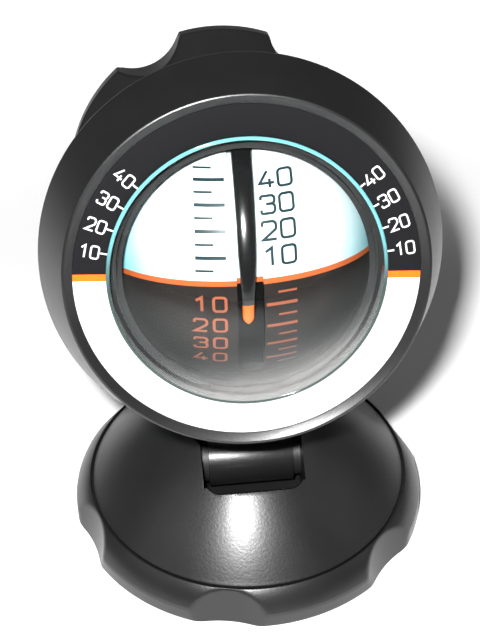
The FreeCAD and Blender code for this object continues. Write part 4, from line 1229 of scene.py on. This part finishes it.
    def _numbers(self) -> None:
        """Prints the plain numbers and their ticks on the ring."""
        wheel = Wheel()
        place = self.shop.stance.head @ Matrix.Translation((0, 0, -PRINT_DROP * MM))
        for side in Side:
            way, label = side.value, side.name.lower()
            tick = mesh_object("ring_ticks_" + label, np.array([
                (way * out * MM, -0.00003, up * MM) for out in (27.75, 29.1) for up in (-0.17, 0.17)]),
                [(0, 1, 3, 2)])
            wheel.run(tick, {"Count": len(MARKS), "First": math.radians(-10 * way),
                             "Pitch": math.radians(-10 * way), "Material": self.shop.finishes["print_white"]})
            self.shop.fit(tick, place, "print_white", "head")
            for degrees in MARKS:
                flat, faces = lettering(str(degrees), 2.5, 0.34, 0.24, 0.62)
                points = np.stack([flat[:, 0], np.full(len(flat), -0.03), flat[:, 1]], 1) * MM
                item = mesh_object(f"ring_number_{label}_{degrees}", points, faces)
                turn = Matrix.Rotation(math.radians(-degrees * way), 4, "Y")
                out = Matrix.Translation((way * self.number_ring * MM, 0, 0))
                self.shop.fit(item, place @ turn @ out, "print_white", "head")


@dataclass
class Ball:
    """The two-coloured ball with its pitch scale."""

    shop: Workshop
    radius: float = BALL_RADIUS
    inside: float = 26.31
    band_half: float = 0.55
    groove_half: float = 2.6
    groove_floor: float = 27.71
    slot_half: float = 1.4
    hub_hole: float = 4.05

    def build(self) -> None:
        """Builds the halves, dresses the hidden pieces and prints the scale."""
        self._halves()
        self.shop.dress_nodes("nylon", "roll_hub", "axle_socket_left", "axle_socket_right")
        self.shop.dress_nodes("plated_steel", "roll_axle", "pitch_axle", "ballast_weight")
        self._scale("sky", 1, "print_teal", (-10.5, -4.6), (-10.5, -7.0), 0.028)
        self._scale("ground", -1, "print_orange", (3.0, 9.2), (5.4, 9.1), 0.0)
        for mark in MARKS:
            self._number("sky", mark, 0.98 * mark - 0.5, 9.37 + 0.013 * mark, 3.45, 0.29, "print_teal")
            self._number("ground", mark, 1.0 - 0.97 * mark, -4.5 - 0.008 * mark, 3.05, 0.46, "print_orange")

    def _halves(self) -> None:
        """Builds the two halves and the band between them, all with the pointer's groove."""
        band, proud = self.band_half, self.radius + 0.06
        halves = (("ball_sky", 1, "sky_skin", "sky_plastic", "ball_upper"),
                  ("ball_ground", -1, "ground_skin", "ground_plastic", "ball_lower"))
        for name, way, finish, slot, node in halves:
            outline = []
            for radius, turn in ((self.radius, 1), (self.inside, -1)):
                outline += [(way * radius * math.sin(a), radius * math.cos(a))
                            for a in np.linspace(math.asin(band / radius), math.pi / 2, 60)][::turn]
            half = self._grooved(lathe(name, outline, None, True), way > 0)
            self.shop.fit(half, self.shop.stance.ball, finish, "ball", slot, node)
        section = [(-band, self.inside), (-band, proud), (band, proud), (band, self.inside)]
        line = self._grooved(lathe("horizon_line", section, None, True), False)
        place = self.shop.stance.ball
        self.shop.fit(line, place, "orange_moulding", "ball", "orange_plastic", "horizon_band")

    def _grooved(self, item: bpy.types.Object, spoked: bool) -> bpy.types.Object:
        """Cuts the pointer's groove and the bearing's hole, and the spoke's slot where the half has one."""
        clear = 34
        cuts = [trench("groove", self.groove_half, self.groove_floor, clear, -52.0, 148.0, 100),
                prism("hub_hole", circle(0, 0, self.hub_hole), 20, clear, "y")]
        if spoked:
            cuts.append(trench("spoke_slot", self.slot_half, 23, clear, 39.0, 141.0, 50))
        for cut in cuts:
            combine(item, cut, "DIFFERENCE")
        tidy(item, 30.0)
        return item

    def _scale(self, name: str, way: int, ink: str, long: Point, short: Point, drift: float) -> None:
        """Prints one half's ticks.

        Args:
            name: Name of the half.
            way: 1 upwards from the horizon, -1 downwards.
            ink: The print's finish.
            long: Left and right end of the long ticks, in millimetres from the middle.
            short: The same for the short ticks.
            drift: Sideways shift for each degree, in millimetres.
        """
        degree = self.radius * MM * math.radians(1)
        for label, ends, start, count, width in (("long", long, 10, 4, 0.72), ("short", short, 5, 5, 0.46)):
            points = [((x + drift * start) * MM, 0, z * MM) for x in np.linspace(*ends, 9)
                      for z in (-width / 2, width / 2)]
            faces = [(2 * k, 2 * k + 1, 2 * k + 3, 2 * k + 2) for k in range(8)]
            rungs = mesh_object(f"{name}_ticks_{label}", np.array(points), faces)
            MarkLadder().run(rungs, {
                "Count": count, "First": way * start * degree, "Pitch": way * 10 * degree,
                "Drift": drift * 10 * MM, "Material": self.shop.finishes[ink]})
            self._wrap(rungs, ink)

    def _number(self, name: str, degrees: int, latitude: float, right: float, height: float, spread: float,
                ink: str) -> None:
        """Prints one number.

        Args:
            name: Name of the half.
            degrees: The number.
            latitude: Height of its middle over the horizon, in degrees.
            right: Its right edge, in millimetres from the middle.
            height: Height of its strokes, in millimetres.
            spread: Gap between the digits, as a share of the height.
            ink: The print's finish.
        """
        flat, faces = lettering(str(degrees), height, 0.55, spread, 0.78)
        flat[:, 0] += right - flat[:, 0].max()
        flat[:, 1] += latitude * self.radius * math.radians(1)
        points = np.stack([flat[:, 0], np.zeros(len(flat)), flat[:, 1]], 1) * MM
        self._wrap(mesh_object(f"{name}_number_{degrees}", points, faces), ink)

    def _wrap(self, item: bpy.types.Object, ink: str) -> None:
        """Bends a flat print onto the ball and lets it ride there."""
        BallWrap().run(item, {"Radius": (self.radius + 0.03) * MM, "Material": self.shop.finishes[ink]})
        self.shop.fit(item, self.shop.stance.ball, ink, "ball")


@dataclass
class Pointer:
    """The weighted pitch pointer."""

    shop: Workshop
    inside: float = 28.31
    outside: float = 30.31
    crown: float = 0.75
    tip_low: float = 3.1
    tip_high: float = 11.0
    end: float = 94.0
    hub: float = 3.2
    bush: float = 1.9
    rod: float = 1.0
    weight: Point = (1.38, -12.0)
    weight_radius: float = 4.2

    def section(self, angle: float) -> list[Point]:
        """The bar's section at an angle above the front: flat below and crowned on top."""
        rise = self.outside * math.sin(math.radians(angle))
        half = float(np.interp(rise, [0, 6.4, 15.4, 28.3], [1.24, 1.24, 1.74, 1.95]))
        if angle < self.tip_high:
            half = 1.12 * math.sqrt(max(0.04, 1 - max(0.0, (self.tip_low + 2.4 - angle) / 2.5) ** 2))
        lean = float(np.interp(angle, [0, self.end], [-0.7, 0.6]))
        top = [(half * math.cos(a), self.outside - self.crown + self.crown * math.sin(a) ** 0.8)
               for a in np.linspace(0.0, math.pi, 15)]
        return [(x + lean, r) for x, r in [(-half, self.inside), (half, self.inside)] + top]

    def build(self) -> None:
        """Builds the bar with its spoke, hub and rod as one moulding, and its tip, and dresses the rest."""
        place = self.shop.stance.pointer
        arm = strip("pointer_bar", self.section, self.tip_high, self.end, 120)
        low, high = self.weight[1], -2.5
        rod = [(low, 0.0), (low, self.rod), (high, self.rod), (high, 0.0)]
        for part in (block("spoke", (-1.0, -0.8, self.bush), (1.0, 0.8, self.outside - 1.0)),
                     prism("hub", circle(0, 0, self.hub), -self.hub, self.hub, "x"),
                     lathe("rod", rod, None, True, 48)):
            combine(arm, part, "UNION")
        for part in (prism("bush_bore", circle(0, 0, self.bush), -5.0, 5.0, "x"),
                     prism("weight_seat", circle(*self.weight, self.weight_radius), -5.0, 5.0, "x")):
            combine(arm, part, "DIFFERENCE")
        tidy(arm, 40.0)
        self.shop.fit(arm, place, "pointer_black", "pointer", "pointer_plastic", "pointer_arm")
        tip = strip("orange_tip", self.section, self.tip_low, self.tip_high, 24)
        self.shop.fit(tip, place, "tip_orange", "pointer", "orange_plastic", "pointer_tip")
        self.shop.dress_nodes("turned_brass", "pointer_bush", "pointer_weight")


@dataclass
class Studio:
    """The stage, the lights and the camera, with places in millimetres."""

    shop: Workshop
    place: tuple[float, float, float] = (-22.827, -262.375, 283.513)
    ahead: tuple[float, float, float] = (0.0627964, 0.7496438, -0.6588557)
    roll: float = -1.427
    focal_pixels: float = 1681.67
    picture_height: float = 638.0
    sensor: float = 36.0
    surround: float = 0.07

    def build(self) -> None:
        """Builds the stage, the lights and the camera."""
        corners = np.array([(-1.5, -1.0, 0), (1.5, -1.0, 0), (1.5, 2.5, 0), (-1.5, 2.5, 0)])
        floor = mesh_object("floor", corners, [(0, 1, 2, 3)])
        self.shop.dress(floor, "pale_stage")
        self._world()
        self._light("flash", (-50, -245, 318), 24, 3.0)
        self._light("left_fill", (-420, -160, 300), 300, 0.12)
        self._light("right_fill", (420, -80, 300), 300, 0.08)
        self._camera()

    def _world(self) -> None:
        """A dim surround, seen as white."""
        world = bpy.data.worlds.new("surround")
        world.use_nodes = True
        bpy.context.scene.world = world
        tree = world.node_tree
        path = put_node(tree, "ShaderNodeLightPath")
        level = put_node(tree, "ShaderNodeMapRange", None, {
            "Value": path.outputs["Is Camera Ray"], "To Min": self.surround, "To Max": 1.0})
        tree.links.new(level.outputs[0], tree.nodes["Background"].inputs["Strength"])
        tree.nodes["Background"].inputs["Color"].default_value = (1, 1, 1, 1)

    def _light(self, name: str, place: Sequence[float], size: float, power: float) -> None:
        """A soft square lamp aimed at the head, with its place and size in millimetres."""
        lamp = bpy.data.lights.new(name, "AREA")
        lamp.size, lamp.energy = size * MM, power
        item = bpy.data.objects.new(name, lamp)
        bpy.context.scene.collection.objects.link(item)
        item.location = Vector(place) * MM
        item.rotation_euler = (Vector((0, 0, 0.06)) - item.location).to_track_quat("-Z", "Y").to_euler()

    def _camera(self) -> None:
        """The camera at the photograph's angle."""
        lens = bpy.data.cameras.new("camera")
        lens.sensor_fit, lens.sensor_width = "AUTO", self.sensor
        lens.lens = self.focal_pixels * self.sensor / self.picture_height
        lens.clip_start, lens.clip_end = 0.01, 20.0
        item = bpy.data.objects.new("camera", lens)
        bpy.context.scene.collection.objects.link(item)
        ahead = Vector(self.ahead).normalized()
        right = ahead.cross(Vector((0, 0, 1))).normalized()
        up = right.cross(ahead)
        turn = math.radians(self.roll)
        right, up = right * math.cos(turn) + up * math.sin(turn), up * math.cos(turn) - right * math.sin(turn)
        item.matrix_world = Matrix.Translation(Vector(self.place) * MM) @ Matrix(
            (right, up, -ahead)).transposed().to_4x4()
        bpy.context.scene.camera = item


def main() -> None:
    """Builds the whole scene."""
    logging.basicConfig(level=logging.INFO, format="%(name)s: %(message)s")
    bpy.context.scene.view_settings.view_transform = "Standard"
    shop = Workshop(Stance())
    for assembly in (Base, Turret, Yoke, Head, Ball, Pointer, Studio):
        assembly(shop).build()
        LOG.info("%s is built", assembly.__name__)


if __name__ == "__main__":
    main()
